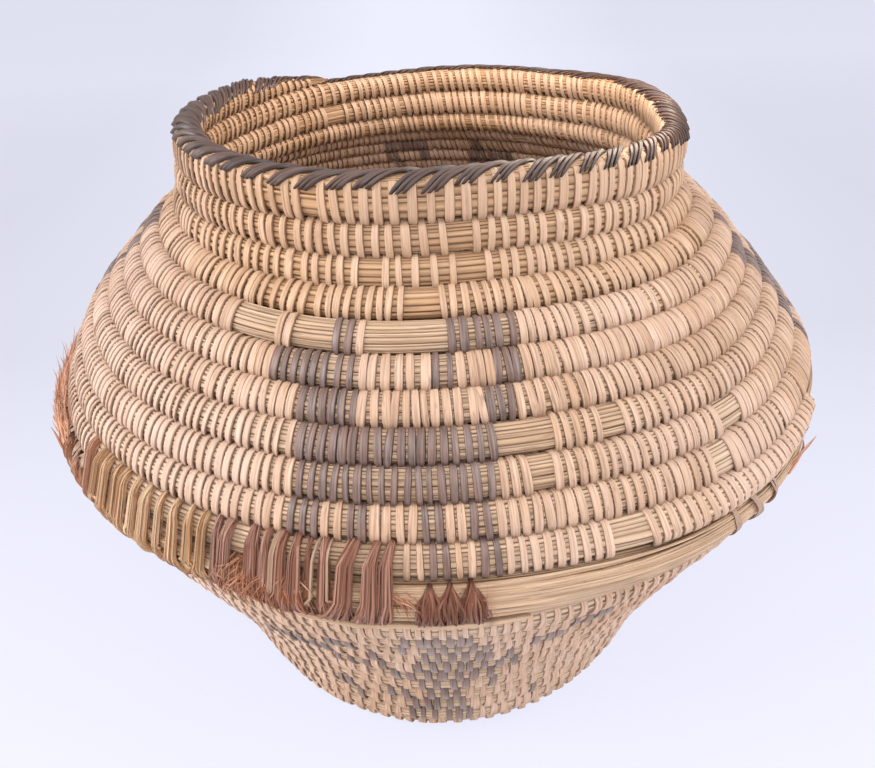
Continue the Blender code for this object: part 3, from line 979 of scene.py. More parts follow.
@dataclass(frozen=True)
class SteppedPattern:
    """The dark stepped figures, as stitches by row, in degrees from the middle of a figure."""

    figures: int = 4
    middle: float = -4.2
    bands: tuple[tuple[int, float, float], ...] = (
        (5, -11.6, -7.0), (5, 4.9, 16.2),
        (6, -19.1, -7.0), (6, 4.1, 7.2), (6, 12.4, 15.5),
        (7, -13.9, -6.3), (7, 10.9, 14.0),
        (8, -13.1, 12.5), (9, -13.1, 10.2),
        (10, -13.1, -10.0), (10, -6.4, -3.3), (10, 1.9, 5.0), (10, 7.1, 10.2),
        (11, 1.9, 5.0), (11, 7.9, 11.0),
        (14, -1.4, 8.4), (15, -13.3, -7.8), (15, -3.4, -1.8), (15, 0.4, 9.4),
        (16, -24.8, -13.8), (16, -8.6, -5.6), (16, -0.6, 10.2),
        (17, -15.3, -9.3), (17, -7.0, -5.6), (17, -2.0, 11.4), (17, 12.0, 16.0),
        (18, -7.4, 8.8), (18, 10.0, 11.8), (19, -1.2, 9.2), (19, 10.8, 12.4),
        (20, -20.0, -16.0), (20, -9.6, -7.6), (20, -6.6, -4.6), (20, -0.4, 6.6),
        (21, -23.0, -19.6), (21, -18.2, -13.8), (21, -5.2, 8.8), (22, -7.2, -3.2), (22, -2.2, 9.0),
        (16, 12.4, 14.7), (15, 15.9, 20.2), (14, 19.9, 25.9), (19, 15.9, 17.9), (21, 22.7, 24.7),
    )

    def dark(self, index: np.ndarray) -> np.ndarray:
        """Whether each stitch is one of the dark ones.

        Args:
            index: the winding points of the stitches.

        Returns:
            One truth value for each stitch.
        """
        azimuth = SPLICE_DEGREES - POINT_DEGREES * index
        spacing = CIRCLE / self.figures
        nearest = np.rint((azimuth - self.middle) / spacing) * spacing + self.middle
        middle = nearest - CIRCLE * np.rint(nearest / CIRCLE)
        turn = np.rint((index - (SPLICE_DEGREES - middle) / POINT_DEGREES) / PER_TURN)
        return in_bands(RIM_TURN - turn, azimuth - nearest, self.bands)


@dataclass(frozen=True)
class BarePatches:
    """Where stitches have worn away, by row and by degrees from the front."""

    patches: tuple[tuple[int, float, float], ...] = (
        (11, -50.5, -4.6),
        (1, -22.5, -18.8), (2, 3.0, 7.5), (3, -11.3, -8.3), (3, 5.2, 9.0), (4, -3.8, 0.0),
        (5, -33.0, -25.5), (5, -21.0, -15.8), (5, -9.8, 1.5), (8, 7.5, 12.7), (8, 21.0, 23.2),
        (9, 9.7, 12.7), (9, 38.2, 41.2), (10, 34.0, 37.0), (11, 18.7, 23.0),
        (6, 96.0, 100.0), (9, 121.0, 126.0), (4, 150.0, 153.0), (7, -101.0, -96.0), (10, -128.0, -124.0),
        (3, -151.0, -147.0), (8, 172.0, 176.0), (16, 81.0, 84.0), (18, -118.0, -114.0),
    )

    def bare(self, index: np.ndarray) -> np.ndarray:
        """Whether each stitch is gone.

        Args:
            index: the winding points of the stitches.

        Returns:
            One truth value for each stitch.
        """
        turn = np.rint((index - FRONT_POINT) / PER_TURN)
        azimuth = SPLICE_DEGREES - POINT_DEGREES * (index - PER_TURN * turn)
        return in_bands(RIM_TURN - turn, azimuth, self.patches)


@dataclass
class StitchRun:
    """The places of the stitches of one unbroken length of sewing."""

    first: float
    last: float
    pitch: float
    seed: int

    SPREAD = (1.45, 1.45, 1.0, 1.0, 1.36)
    CLOSEST = 0.62
    WIDEST = 1.32
    EVENING = 0.3
    UNEVENNESS = 0.07

    def spacing(self, winding: Winding, index: float) -> float:
        """The winding points from one stitch to the next, at a place on the winding."""
        spread = float(np.interp(index, SEWING_POINTS, self.SPREAD))
        return self.pitch * spread / float(winding.step_length(index))

    def places(self, winding: Winding) -> np.ndarray:
        """Spaces the stitches so that each sits between two of the turn below.

        Args:
            winding: the spiral that the sewing follows.

        Returns:
            The winding point of each stitch, in the order in which it is sewn.
        """
        random = np.random.default_rng(self.seed)
        found = [self.first]
        while found[-1] < self.first + PER_TURN:
            found.append(found[-1] + self.spacing(winding, found[-1]))
        below = 0
        while True:
            candidate = (found[below] + found[below + 1]) / 2 + PER_TURN
            if candidate > self.last:
                break
            below += 1
            pitch = self.spacing(winding, candidate)
            gap = candidate - found[-1]
            if gap < self.CLOSEST * pitch:
                continue
            if gap > self.WIDEST * pitch:
                found.append(found[-1] + gap / 2)
                gap /= 2
            nudge = self.EVENING * (pitch - gap) + random.normal(0.0, self.UNEVENNESS) * pitch
            found.append(candidate + nudge)
        return np.array(found)


@dataclass
class Sewing:
    """Splint stitches over one length of the coil."""

    name: str
    index: np.ndarray
    pitch: float
    width: float
    seed: int
    tone: tuple[float, float] = (0.3, 1.0)

    PATH = np.array((
        (-1.0, 0.34), (-0.90, 0.56), (-0.72, 0.77), (-0.42, 0.89), (0.0, 0.93), (0.42, 0.89), (0.76, 0.74),
        (1.0, 0.34), (1.0, -0.34), (0.76, -0.74), (0.42, -0.89), (-0.1, -0.93), (-0.64, -0.82), (-1.0, -0.34),
    ))
    SECTION = np.array(((-1.05, -0.6), (-0.9, 0.9), (0.0, 1.0), (0.9, 0.92), (1.16, -0.7)))
    EDGE_SHADE = np.array((0.7, 0.0, 0.0, 0.0, 1.0))
    END_SHADE = ((0.6, 0.0), (1.0, 0.45))
    ENDS = ((0.0, 0.86), (0.12, 0.95), (0.3, 1.0), (0.62, 1.0), (0.85, 0.86), (1.0, 0.55))
    THICKNESS = 0.75 * MM
    LOW_SHARE = 1.22
    UNDER_RIM = 0.84
    WIDER = (1.25, 1.25, 1.0, 1.0, 1.05)
    RISES = (0.0, 0.02)
    STANDS = (1.0, 0.012)
    SLANTS = (0.03, 0.08)
    BOWS = (0.0, 0.04)
    BACK = 0.9
    PACES = (0.84, 1.18)
    PACE_RUN = 20
    WIDTHS = (1.0, 0.10)
    WIDTH_LIMITS = (0.7, 1.3)
    HEIGHTS = (1.0, 0.12)
    TILTS = (0.22, 0.16)
    TONE_RUN = 6
    TONE_SHARES = (0.55, 0.45)
    TONE_POWER = 1.6

    def build(self, winding: Winding) -> bpy.types.Object:
        """Builds the stitches.

        Args:
            winding: the spiral that they are sewn on.

        Returns:
            The piece.
        """
        random = np.random.default_rng(self.seed)
        count, rings = len(self.index), len(self.PATH)
        each = (count, 1)
        radius = winding.thick(self.index)[:, None]
        low = np.where(self.PATH[:, 0] < 0, self.LOW_SHARE, 1.0)
        rise = radius * (self.PATH[:, 0] * low + random.normal(*self.RISES, each))
        stand = radius * self.PATH[:, 1] * random.normal(*self.STANDS, each)
        covered = (self.index[:, None] > Stretch.RIM.first) & (rise > 0)
        rise = np.where(covered, self.UNDER_RIM * rise, rise)
        share = np.linspace(-1.0, 1.0, rings)
        slant = random.normal(*self.SLANTS, each) * self.pitch
        bow = random.normal(*self.BOWS, each) * self.pitch
        back = self.pitch * self.BACK
        shift = slant * share + bow * np.cos(share * math.pi) + back * np.clip(share, 0, 1)
        index = self.index[:, None] + shift / winding.step_length(self.index)[:, None]
        knots = np.arange(count // self.PACE_RUN + 2) * self.PACE_RUN
        pace = np.interp(np.arange(count), knots, random.uniform(*self.PACES, len(knots)))
        wider = np.interp(self.index, SEWING_POINTS, self.WIDER)
        uneven = random.normal(*self.WIDTHS, each).clip(*self.WIDTH_LIMITS)
        half = self.width / 2 * (wider * pace)[:, None] * uneven * profile(np.abs(share), self.ENDS)
        height = self.THICKNESS * random.normal(*self.HEIGHTS, each) * np.ones(rings)
        tilt = random.normal(*self.TILTS, count)
        places = winding.straps(index, rise, stand, half, height, self.SECTION, tilt)
        steps = np.hypot(np.diff(rise, axis=1, prepend=0), np.diff(stand, axis=1, prepend=0))
        along = np.cumsum(steps, axis=1)
        strand = strand_map(along[..., None], strap_across(self.SECTION, count))
        runs = np.repeat(random.uniform(0, 1, count // self.TONE_RUN + 1), self.TONE_RUN)[:count]
        by_run, by_stitch = self.TONE_SHARES
        tone = 1 - (by_run * runs + by_stitch * random.uniform(0, 1, count)) ** self.TONE_POWER
        tint = self.tone[0] + (self.tone[1] - self.tone[0]) * tone[:, None, None]
        shade = np.clip(self.EDGE_SHADE + profile(np.abs(share), self.END_SHADE)[:, None], 0, 1)
        tubes = Tubes(self.name, rings, len(self.SECTION))
        return tubes.build(places, strand, tint, shade[None], STRAP_EDGE)


@dataclass
class Overcast:
    """The dark splints wound slanting over the rim, each of a few split strips."""

    wraps: int = 64
    strips: int = 3
    slant: float = 9.5
    start: float = -64.0
    width: float = 14.0 * MM
    thickness: float = 1.0 * MM
    seed: int = 71

    RINGS = 14
    SETBACK = 0.6
    ENDS = (
        (662.0, 22.0), (667.0, 24.0), (670.0, 48.0), (676.0, 60.0),
        (680.0, 70.0), (684.0, 74.0), (686.0, 60.0),
    )
    SECTION = np.array(((-1.0, -0.4), (-0.72, 0.75), (0.0, 1.0), (0.72, 0.75), (1.0, -0.4)))
    STRIP_SHADE = np.array((0.9, 0.5, 0.9))
    START_SHADE = ((0.0, 0.5), (0.06, 0.0))
    FULLNESS = ((0.0, 0.60), (0.25, 0.72), (0.5, 1.0), (1.0, 1.0))
    ROUNDING = ((0.0, 0.55), (0.05, 0.88), (0.14, 1.0), (0.9, 1.0), (1.0, 0.55))
    LIFT = ((0.0, 1.25), (0.25, 1.15), (0.5, 0.8), (0.85, 0.8), (1.0, 0.2))
    UNEVENNESS = (0.0, 0.025)
    WRAP_BLUNTNESS = (0.0, 5.0)
    STRIP_BLUNTNESS = (0.0, 1.0)
    END_BLUNTNESS = 1.5
    FULL_SPREAD = (1.0, 0.08)
    HEIGHTS = (1.0, 0.12)
    TILTS = (-0.15, 0.1)
    UPRIGHT_AT = 0.75
    RISE_SHARE = 0.95
    STAND_SHARE = 0.93
    STRIP_SHARE = 0.98
    OVERLAP = 0.35
    WRAP_TINT = 0.7
    STRIP_TINT = 0.3

    def by_wrap(self, values: np.ndarray) -> np.ndarray:
        """The value of each wrap for each of its strips, one strip a row."""
        return np.repeat(values, self.strips)[:, None]

    def build(self, winding: Winding) -> bpy.types.Object:
        """Builds the overcast rim.

        Args:
            winding: the spiral whose last turn is the rim.

        Returns:
            The piece.
        """
        random = np.random.default_rng(self.seed)
        first, last = Stretch.RIM.first - self.SETBACK, Stretch.RIM.last - self.SETBACK
        middle = np.linspace(first, last, self.wraps) + random.normal(*self.UNEVENNESS, self.wraps)
        middle = self.by_wrap(middle)
        strip = np.tile(np.arange(self.strips) - (self.strips - 1) / 2, self.wraps)[:, None]
        count = len(middle)
        share = np.linspace(0.0, 1.0, self.RINGS)
        blunt = self.by_wrap(random.normal(*self.WRAP_BLUNTNESS, self.wraps))
        blunt = blunt + random.normal(*self.STRIP_BLUNTNESS, (count, 1))
        end = profile(middle, self.ENDS) + self.END_BLUNTNESS * blunt
        angle = np.radians(self.start + blunt + (end - self.start - blunt) * share)
        full = profile(share, self.FULLNESS) * self.by_wrap(random.normal(*self.FULL_SPREAD, self.wraps))
        shift = strip * self.width / self.strips * full
        lean = math.radians(self.slant) * (self.UPRIGHT_AT - share) / POINT_STEP
        index = middle + lean + shift / winding.step_length(middle)
        radius = winding.thick(index)
        raised = self.by_wrap(random.uniform(0.0, self.OVERLAP, self.wraps)) - self.OVERLAP * strip
        lift = (profile(share, self.LIFT) + raised) * MM
        rise = (radius * self.RISE_SHARE + lift) * np.cos(angle)
        stand = -(radius * self.STAND_SHARE + lift) * np.sin(angle)
        half = self.width / self.strips / 2 * self.STRIP_SHARE * full * profile(share, self.ROUNDING)
        height = self.thickness * random.normal(*self.HEIGHTS, (count, 1)) * np.ones(self.RINGS)
        tilt = random.normal(*self.TILTS, count)
        places = winding.straps(index, rise, stand, half, height, self.SECTION, tilt)
        along = share * radius * np.radians(end - self.start)
        strand = strand_map(along[..., None], strap_across(self.SECTION, count))
        tint = self.by_wrap(random.uniform(0.0, 1.0, self.wraps))[:, 0] * self.WRAP_TINT
        tint = tint + random.uniform(0.0, self.STRIP_TINT, count)
        edge = np.abs(self.SECTION[:, 0]) ** 3 * np.tile(self.STRIP_SHADE, self.wraps)[:, None, None]
        shade = np.clip(edge + profile(share, self.START_SHADE)[None, :, None], 0, 1)
        tubes = Tubes("rim_overcast", self.RINGS, len(self.SECTION))
        return tubes.build(places, strand, tint[:, None, None], shade, STRAP_EDGE)


@dataclass(frozen=True)
class Ribbon:
    """One flat band of fibres over the belly bundle: azimuths of its ends, in degrees, and widths."""

    top: float
    bottom: float
    top_width: float
    bottom_width: float
    fibres: int = 12
    start: float = -12.0
    end: float = -148.0
    bulge: float = 1.6
    loose: float = 0.0
    fibre_width: float = 0.85
    tones: tuple[float, float] = (0.0, 1.0)
    over_row: bool = True
    spread: float = 0.9
    ragged: float = 5.0


@dataclass
class Lashing:
    """Ribbons of fibre tied round the belly bundle, as fibres side by side."""

    name: str
    ribbons: tuple[Ribbon, ...]
    seed: int

    RINGS = 19
    SECTION = np.array(((-1.0, -0.3), (-0.6, 0.7), (0.1, 1.0), (0.65, 0.65), (1.0, -0.3)))
    STARTS = (0.0, 3.0)
    BUMPS = (3, 7)
    BUMP_HEIGHT = 0.45
    ARCH_POWER = 0.6
    ARCH_SHARE = 0.6
    LEAST_LIFT = 0.4
    LIFTS = (0.0, 2.4)
    LOOSE_FROM = 0.7
    LOOSE_SHARES = (0.2, 1.6)
    DRIFTS = (0.0, 0.15)
    GATHERING = 0.07
    GATHERS = 19.0
    TOP_SHARE = 0.42
    BOTTOM_SHARE = 1.25
    WOBBLES = (4, 13)
    WOBBLE = 0.6
    TURNOVER = 0.44
    TURNED_AT = -66.0
    ROW_START = -6.0
    ROW_SWEEP = 88.0
    ROW_STAND = 0.93
    WIDTHS = (0.5, 1.4)
    TAPER = ((0.0, 0.6), (0.12, 1.0), (0.9, 1.0), (1.0, 0.45))
    THICKNESS = 0.8
    THICKNESSES = (0.6, 1.3)
    TILTS = (0.0, 0.3)
    LENGTH = 0.04
    END_SHADE = ((0.0, 0.6), (0.1, 0.0), (0.9, 0.0), (1.0, 0.5))
    EDGE_SHADE = 0.4

    def ribbon(self, winding: Winding, ribbon: Ribbon, random: np.random.Generator) -> np.ndarray:
        """Lays the fibres of one ribbon.

        Args:
            winding: the spiral of the bundle that it is tied round.
            ribbon: where the ribbon is.
            random: the draws.

        Returns:
            The points of the fibres, by fibre, ring and side.
        """
        share = np.linspace(0.0, 1.0, self.RINGS)
        count = ribbon.fibres
        each = (count, 1)
        middle = Stretch.BELLY.at(ribbon.top)
        start = ribbon.start + random.normal(*self.STARTS, each)
        end = ribbon.end + random.normal(0, ribbon.ragged, each)
        bumps = wave(share, *self.BUMPS, random, count)
        arch = ribbon.bulge * np.sin(share * math.pi) ** self.ARCH_POWER * self.ARCH_SHARE
        lift = (self.LEAST_LIFT + arch + random.uniform(*self.LIFTS, each) + self.BUMP_HEIGHT * bumps) * MM
        loose = ribbon.loose * MM * eased(share, self.LOOSE_FROM, 1.0)
        lift = lift + loose * random.uniform(*self.LOOSE_SHARES, each)
        spot = random.permutation(np.linspace(-0.5, 0.5, count))[:, None]
        spot = spot + random.normal(*self.DRIFTS, each) * share
        spot = spot + self.GATHERING * share * np.sin(spot * self.GATHERS + random.uniform(*PHASES))
        top, bottom = self.TOP_SHARE * ribbon.top_width, ribbon.bottom_width * self.BOTTOM_SHARE
        width = top + (bottom - top) * eased(share, 0.0, ribbon.spread)
        shift = spot * width * MM + self.WOBBLE * MM * wave(share, *self.WOBBLES, random, count)
        slant = (ribbon.top - ribbon.bottom) / POINT_DEGREES
        index = middle + slant * share + shift / float(winding.step_length(middle))
        if ribbon.over_row:
            rise, stand = self.over_row(winding, index, share, (start, end), lift)
        else:
            rise, stand = winding.belly(index, np.radians(start + (end - start) * share), lift)
        half = ribbon.fibre_width * MM / 2 * random.uniform(*self.WIDTHS, each) * profile(share, self.TAPER)
        height = self.THICKNESS * MM * random.uniform(*self.THICKNESSES, each) * np.ones(self.RINGS)
        tilt = random.normal(*self.TILTS, count)
        return winding.straps(index, rise, stand, half, height, self.SECTION, tilt)

    def over_row(
        self,
        winding: Winding,
        index: np.ndarray,
        share: np.ndarray,
        ends: tuple[np.ndarray, np.ndarray],
        lift: np.ndarray,
    ) -> tuple[np.ndarray, np.ndarray]:
        """Leads fibres down over the turn above, and then round the belly bundle.

        Args:
            winding: the spiral of the bundle.
            index: the winding points of the fibres.
            share: the places along a fibre.
            ends: the angles where each fibre starts and ends.
            lift: the distance off the skin.

        Returns:
            How far up the wall, and how far out from it, each point is.
        """
        start, end = ends
        later = np.clip((share - self.TURNOVER) / (1 - self.TURNOVER), 0, 1)
        angle = np.radians(self.TURNED_AT + (end - self.TURNED_AT) * later)
        above = np.radians(start + self.ROW_START - self.ROW_SWEEP * share / self.TURNOVER)
        coil = winding.thick(index + PER_TURN)
        rise, stand = (coil + lift) * np.cos(above), -(coil * self.ROW_STAND + lift) * np.sin(above)
        upper = winding.upper_turn(index, rise, stand)
        lower = winding.belly(index, angle, lift)
        early = share < self.TURNOVER
        return np.where(early, upper[0], lower[0]), np.where(early, upper[1], lower[1])

    def build(self, winding: Winding) -> bpy.types.Object:
        """Builds the lashing.

        Args:
            winding: the spiral of the bundle that it is tied round.

        Returns:
            The piece.
        """
        random = np.random.default_rng(self.seed)
        places = np.concatenate([self.ribbon(winding, ribbon, random) for ribbon in self.ribbons])
        tones = [random.uniform(*ribbon.tones, ribbon.fibres) for ribbon in self.ribbons]
        share = np.linspace(0.0, 1.0, self.RINGS)
        across = strap_across(self.SECTION, len(places)) + self.seed
        strand = strand_map(share[None, :, None] * self.LENGTH, across)
        edge = self.EDGE_SHADE * np.abs(self.SECTION[:, 0]) ** 8
        shade = np.clip(profile(share, self.END_SHADE)[:, None] + edge, 0, 1)
        tubes = Tubes(self.name, self.RINGS, len(self.SECTION))
        return tubes.build(places, strand, np.concatenate(tones)[:, None, None], shade[None], STRAP_EDGE)


@dataclass
class LooseFibres:
    """Thin fibres that run along the belly bundle or hang off it."""

    name: str
    count: int
    starts: tuple[float, float]
    lengths: tuple[float, float]
    angles: tuple[float, float]
    drift: tuple[float, float]
    lifts: tuple[float, float]
    seed: int
    radius: float = 0.5 * MM

    RINGS = 16
    SIDES = 5
    SWING = 5.0
    SWINGS = (2, 7)
    LIFT_POWER = 1.5
    LEAST_LIFT = 1.0
    LIFTS = (0.0, 2.2)
    THICKNESSES = (0.5, 1.5)
    TAPER = ((0.0, 0.5), (0.15, 1.0), (0.6, 1.0), (1.0, 0.15))
    LENGTH = 0.08

    def build(self, winding: Winding) -> bpy.types.Object:
        """Builds the fibres.

        Args:
            winding: the spiral of the belly bundle.

        Returns:
            The piece.
        """
        random = np.random.default_rng(self.seed)
        count, each = self.count, (self.count, 1)
        share = np.linspace(0.0, 1.0, self.RINGS)
        start = random.uniform(*self.starts, each)
        index = Stretch.BELLY.at(start + random.uniform(*self.lengths, each) * share)
        angle = random.uniform(*self.angles, each) + random.uniform(*self.drift, each) * share
        angle = angle + self.SWING * wave(share, *self.SWINGS, random, count)
        lift = self.LEAST_LIFT + random.uniform(*self.lifts, each) * share**self.LIFT_POWER
        lift = lift + random.uniform(*self.LIFTS, each)
        rise, stand = winding.belly(index, np.radians(angle), lift * MM)
        thick = self.radius * random.uniform(*self.THICKNESSES, each) * profile(share, self.TAPER)
        places = winding.strands(index, rise, stand, thick, self.SIDES)
        strand = strand_map(share[None, :, None] * self.LENGTH, round_across(self.SIDES, count))
        tint = random.uniform(0.0, 1.0, count)[:, None, None]
        return Tubes(self.name, self.RINGS, self.SIDES).build(places, strand, tint)


@dataclass
class LedgeRod:
    """The smooth bare rod in the groove under the belly bundle."""

    left: float = -17.0
    right: float = 9.0
    radius: float = 1.7 * MM

    RINGS = 60
    SIDES = 10
    UNEVENNESS = 0.3 * MM
    RISE_SHARE = 0.85
    STAND_SHARE = 0.35
    BENDS = (0.9, 0.55)
    KNOT_AT = 4.6
    KNOT_BULGE = (0.35, 0.35)
    KNOT_SHADE = (0.5, 0.5)
    REACH = 0.25
    TINT = 0.6

    def knot(self, azimuth: np.ndarray, size: float, width: float) -> np.ndarray:
        """A bell curve at the rod's knot, of a size and of a width in degrees."""
        return size * np.exp(-(((azimuth - self.KNOT_AT) / width) ** 2))

    def build(self, winding: Winding) -> bpy.types.Object:
        """Builds the rod.

        Args:
            winding: the spiral in whose groove it lies.

        Returns:
            The piece.
        """
        azimuth = np.linspace(self.right, self.left, self.RINGS)
        index = Stretch.BELLY.at(azimuth)
        thick = winding.thick(index)
        rise = -thick * self.RISE_SHARE + self.UNEVENNESS * np.sin(azimuth * self.BENDS[0])
        stand = thick * self.STAND_SHARE + self.UNEVENNESS * np.sin(azimuth * self.BENDS[1] + 1)
        last = self.RINGS - 1
        ends = profile(np.arange(self.RINGS), ((0, 0.55), (1.5, 1.0), (last - 1.5, 1.0), (last, 0.55)))
        radius = self.radius * ends * (1 + self.knot(azimuth, *self.KNOT_BULGE))
        places = winding.strands(index, rise, stand, radius, self.SIDES)[None]
        along = (azimuth - azimuth[0]) * -math.radians(1.0) * self.REACH
        strand = strand_map(along[:, None], np.arange(self.SIDES) / self.SIDES)[None]
        shade = self.knot(azimuth, *self.KNOT_SHADE)[None, :, None]
        return Tubes("ledge_rod_wood", self.RINGS, self.SIDES).build(places, strand, self.TINT, shade)


@dataclass
class UnderBelly:
    """The thin roll of straw that fills the groove between the belly bundle and the turn below."""

    straws: int = 7
    radius: float = 3.7 * MM
    seed: int = 19

    RINGS = 260
    PER_STRAW = 3
    START = 0.2
    MIDDLE = (-10.9 * MM, -0.6 * MM)
    RIDGE = 0.16
    TINTS = (0.2, 0.9)
    VALLEY_SHADE = 0.6
    STEP = 0.064

    def build(self, winding: Winding) -> bpy.types.Object:
        """Builds the roll.

        Args:
            winding: the spiral in whose groove it lies.

        Returns:
            The piece.
        """
        random = np.random.default_rng(self.seed)
        side = np.arange(self.straws * self.PER_STRAW)
        index = np.linspace(Stretch.BELLY.first + self.START, Stretch.BELLY.last, self.RINGS)
        share = (winding.thick(index) / winding.belly_radius)[:, None]
        turn = side / len(side) * 2 * math.pi
        valley = side % self.PER_STRAW == 0
        radius = self.radius * share * (1 - self.RIDGE * valley)
        rise = self.MIDDLE[0] * share + radius * np.cos(turn)
        stand = self.MIDDLE[1] - radius * np.sin(turn)
        places = winding.place(index[:, None], rise, stand)[None]
        along = (index - index[0]) * self.STEP
        strand = strand_map(along[:, None], side / self.PER_STRAW)[None]
        tint = random.uniform(*self.TINTS, self.straws)[side // self.PER_STRAW]
        shade = self.VALLEY_SHADE * valley
        tubes = Tubes("under_belly_straw", self.RINGS, len(side))
        return tubes.build(places, strand, tint[None, None], shade[None, None])


@dataclass
class LooseEnd:
    """The bare straws that fan out and taper where the belly bundle starts."""

    strands: int = 46
    seed: int = 23

    RINGS = 40
    SIDES = 6
    BACK = 0.5
    STARTS = (0.0, 1.35)
    START_POWER = 1.4
    ENDS = (3.2, 7.5)
    ANGLES = (-150.0, -25.0)
    SWING = 0.16
    SWINGS = (2, 5)
    GATHERED = (-1.0, 0.6)
    LIFTS = (-0.3, 0.9)
    SINK = -1.6 * MM
    SUNK_FROM = 0.82
    TIP_RISE = (0.3, 3.0 * MM)
    TIP_STAND = (0.45, 4.5 * MM)
    THICKNESSES = (0.7, 1.5)
    TAPER = ((0.0, 0.25), (0.25, 0.8), (0.9, 1.0), (1.0, 0.5))
    LENGTH = 0.4
    TINTS = (0.1, 1.0)

    def build(self, winding: Winding) -> bpy.types.Object:
        """Builds the straws.

        Args:
            winding: the spiral of the belly bundle.

        Returns:
            The piece.
        """
        random = np.random.default_rng(self.seed)
        count, each = self.strands, (self.strands, 1)
        share = np.linspace(0.0, 1.0, self.RINGS)
        first = Stretch.BELLY.first
        start = first - self.BACK + random.uniform(*self.STARTS, each) ** self.START_POWER
        end = first + random.uniform(*self.ENDS, each)
        index = start + (end - start) * share
        angle = np.radians(random.uniform(*self.ANGLES, each))
        angle = angle + self.SWING * wave(share, *self.SWINGS, random, count)
        gather = eased(index, first + self.GATHERED[0], first + self.GATHERED[1])
        lift = random.uniform(*self.LIFTS, each) * MM + self.SINK * eased(share, self.SUNK_FROM, 1.0)
        rise, stand = winding.belly(index, angle, lift)
        (low, up), (inner, out) = self.TIP_RISE, self.TIP_STAND
        rise = rise * (low + (1 - low) * gather) + up * (1 - gather)
        stand = stand * (inner + (1 - inner) * gather) + out * (1 - gather)
        thick = random.uniform(*self.THICKNESSES, each) * MM * profile(share, self.TAPER)
        places = winding.strands(index, rise, stand, thick, self.SIDES)
        strand = strand_map(share[None, :, None] * self.LENGTH, round_across(self.SIDES, count))
        tint = random.uniform(*self.TINTS, count)[:, None, None]
        return Tubes("loose_straw_end", self.RINGS, self.SIDES).build(places, strand, tint)


@dataclass
class BaseButton:
    """The tight start of the coil in the middle of the base.

    A row of the path is a number of turns, with how far out the bundle's middle is there and
    how thick the bundle is, in millimetres.
    """

    height: float = 17.5 * MM
    path: tuple[tuple[float, float, float], ...] = (
        (0.0, 0.9, 3.2), (0.5, 3.8, 3.4), (1.2, 8.6, 4.6), (2.2, 19.0, 5.7), (3.2, 19.2, 5.8),
    )

    RINGS = 120
    SIDES = 24
    RIDGE = 0.05
    STRAWS = 8
    SKIN = 1.0 * MM
    TALLNESS = (0.75, 0.25)
    LENGTH = 0.2
    TINT = 0.5

    def build(self, winding: Winding) -> bpy.types.Object:
        """Builds the first small turns of the bundle.

        Args:
            winding: the spiral that starts round it, whose settling it shares.

        Returns:
            The piece.
        """
        turns, middles, radii = np.array(self.path).T
        share = np.linspace(0.0, 1.0, self.RINGS)[:, None]
        turned = share * turns[-1]
        turn = turned * 2 * math.pi
        across = np.arange(self.SIDES) / self.SIDES * 2 * math.pi
        thick = np.interp(turned, turns, radii) * MM * (1 + self.RIDGE * np.cos(across * self.STRAWS))
        reach = np.interp(turned, turns, middles) * MM + thick * np.cos(across)
        least, more = self.TALLNESS
        tall = (self.height / 2 - self.SKIN) * np.sin(across) * (least + more * share)
        places = np.stack((reach * np.sin(-turn), -reach * np.cos(-turn), self.height / 2 - tall), axis=-1)
        strand = strand_map(share * self.LENGTH, np.arange(self.SIDES) / (self.SIDES / self.STRAWS))[None]
        tubes = Tubes("base_button", self.RINGS, self.SIDES)
        return tubes.build(winding.settling.apply(places)[None], strand, self.TINT)


@dataclass(frozen=True)
class Lamp:
    """A soft lamp: where it hangs, its side in metres, its watts, its colour and what it faces."""

    name: str
    place: Place
    size: float
    power: float
    colour: Colour = (1.0, 0.985, 0.975)
    aim: Place = (0.0, 0.0, 0.2)


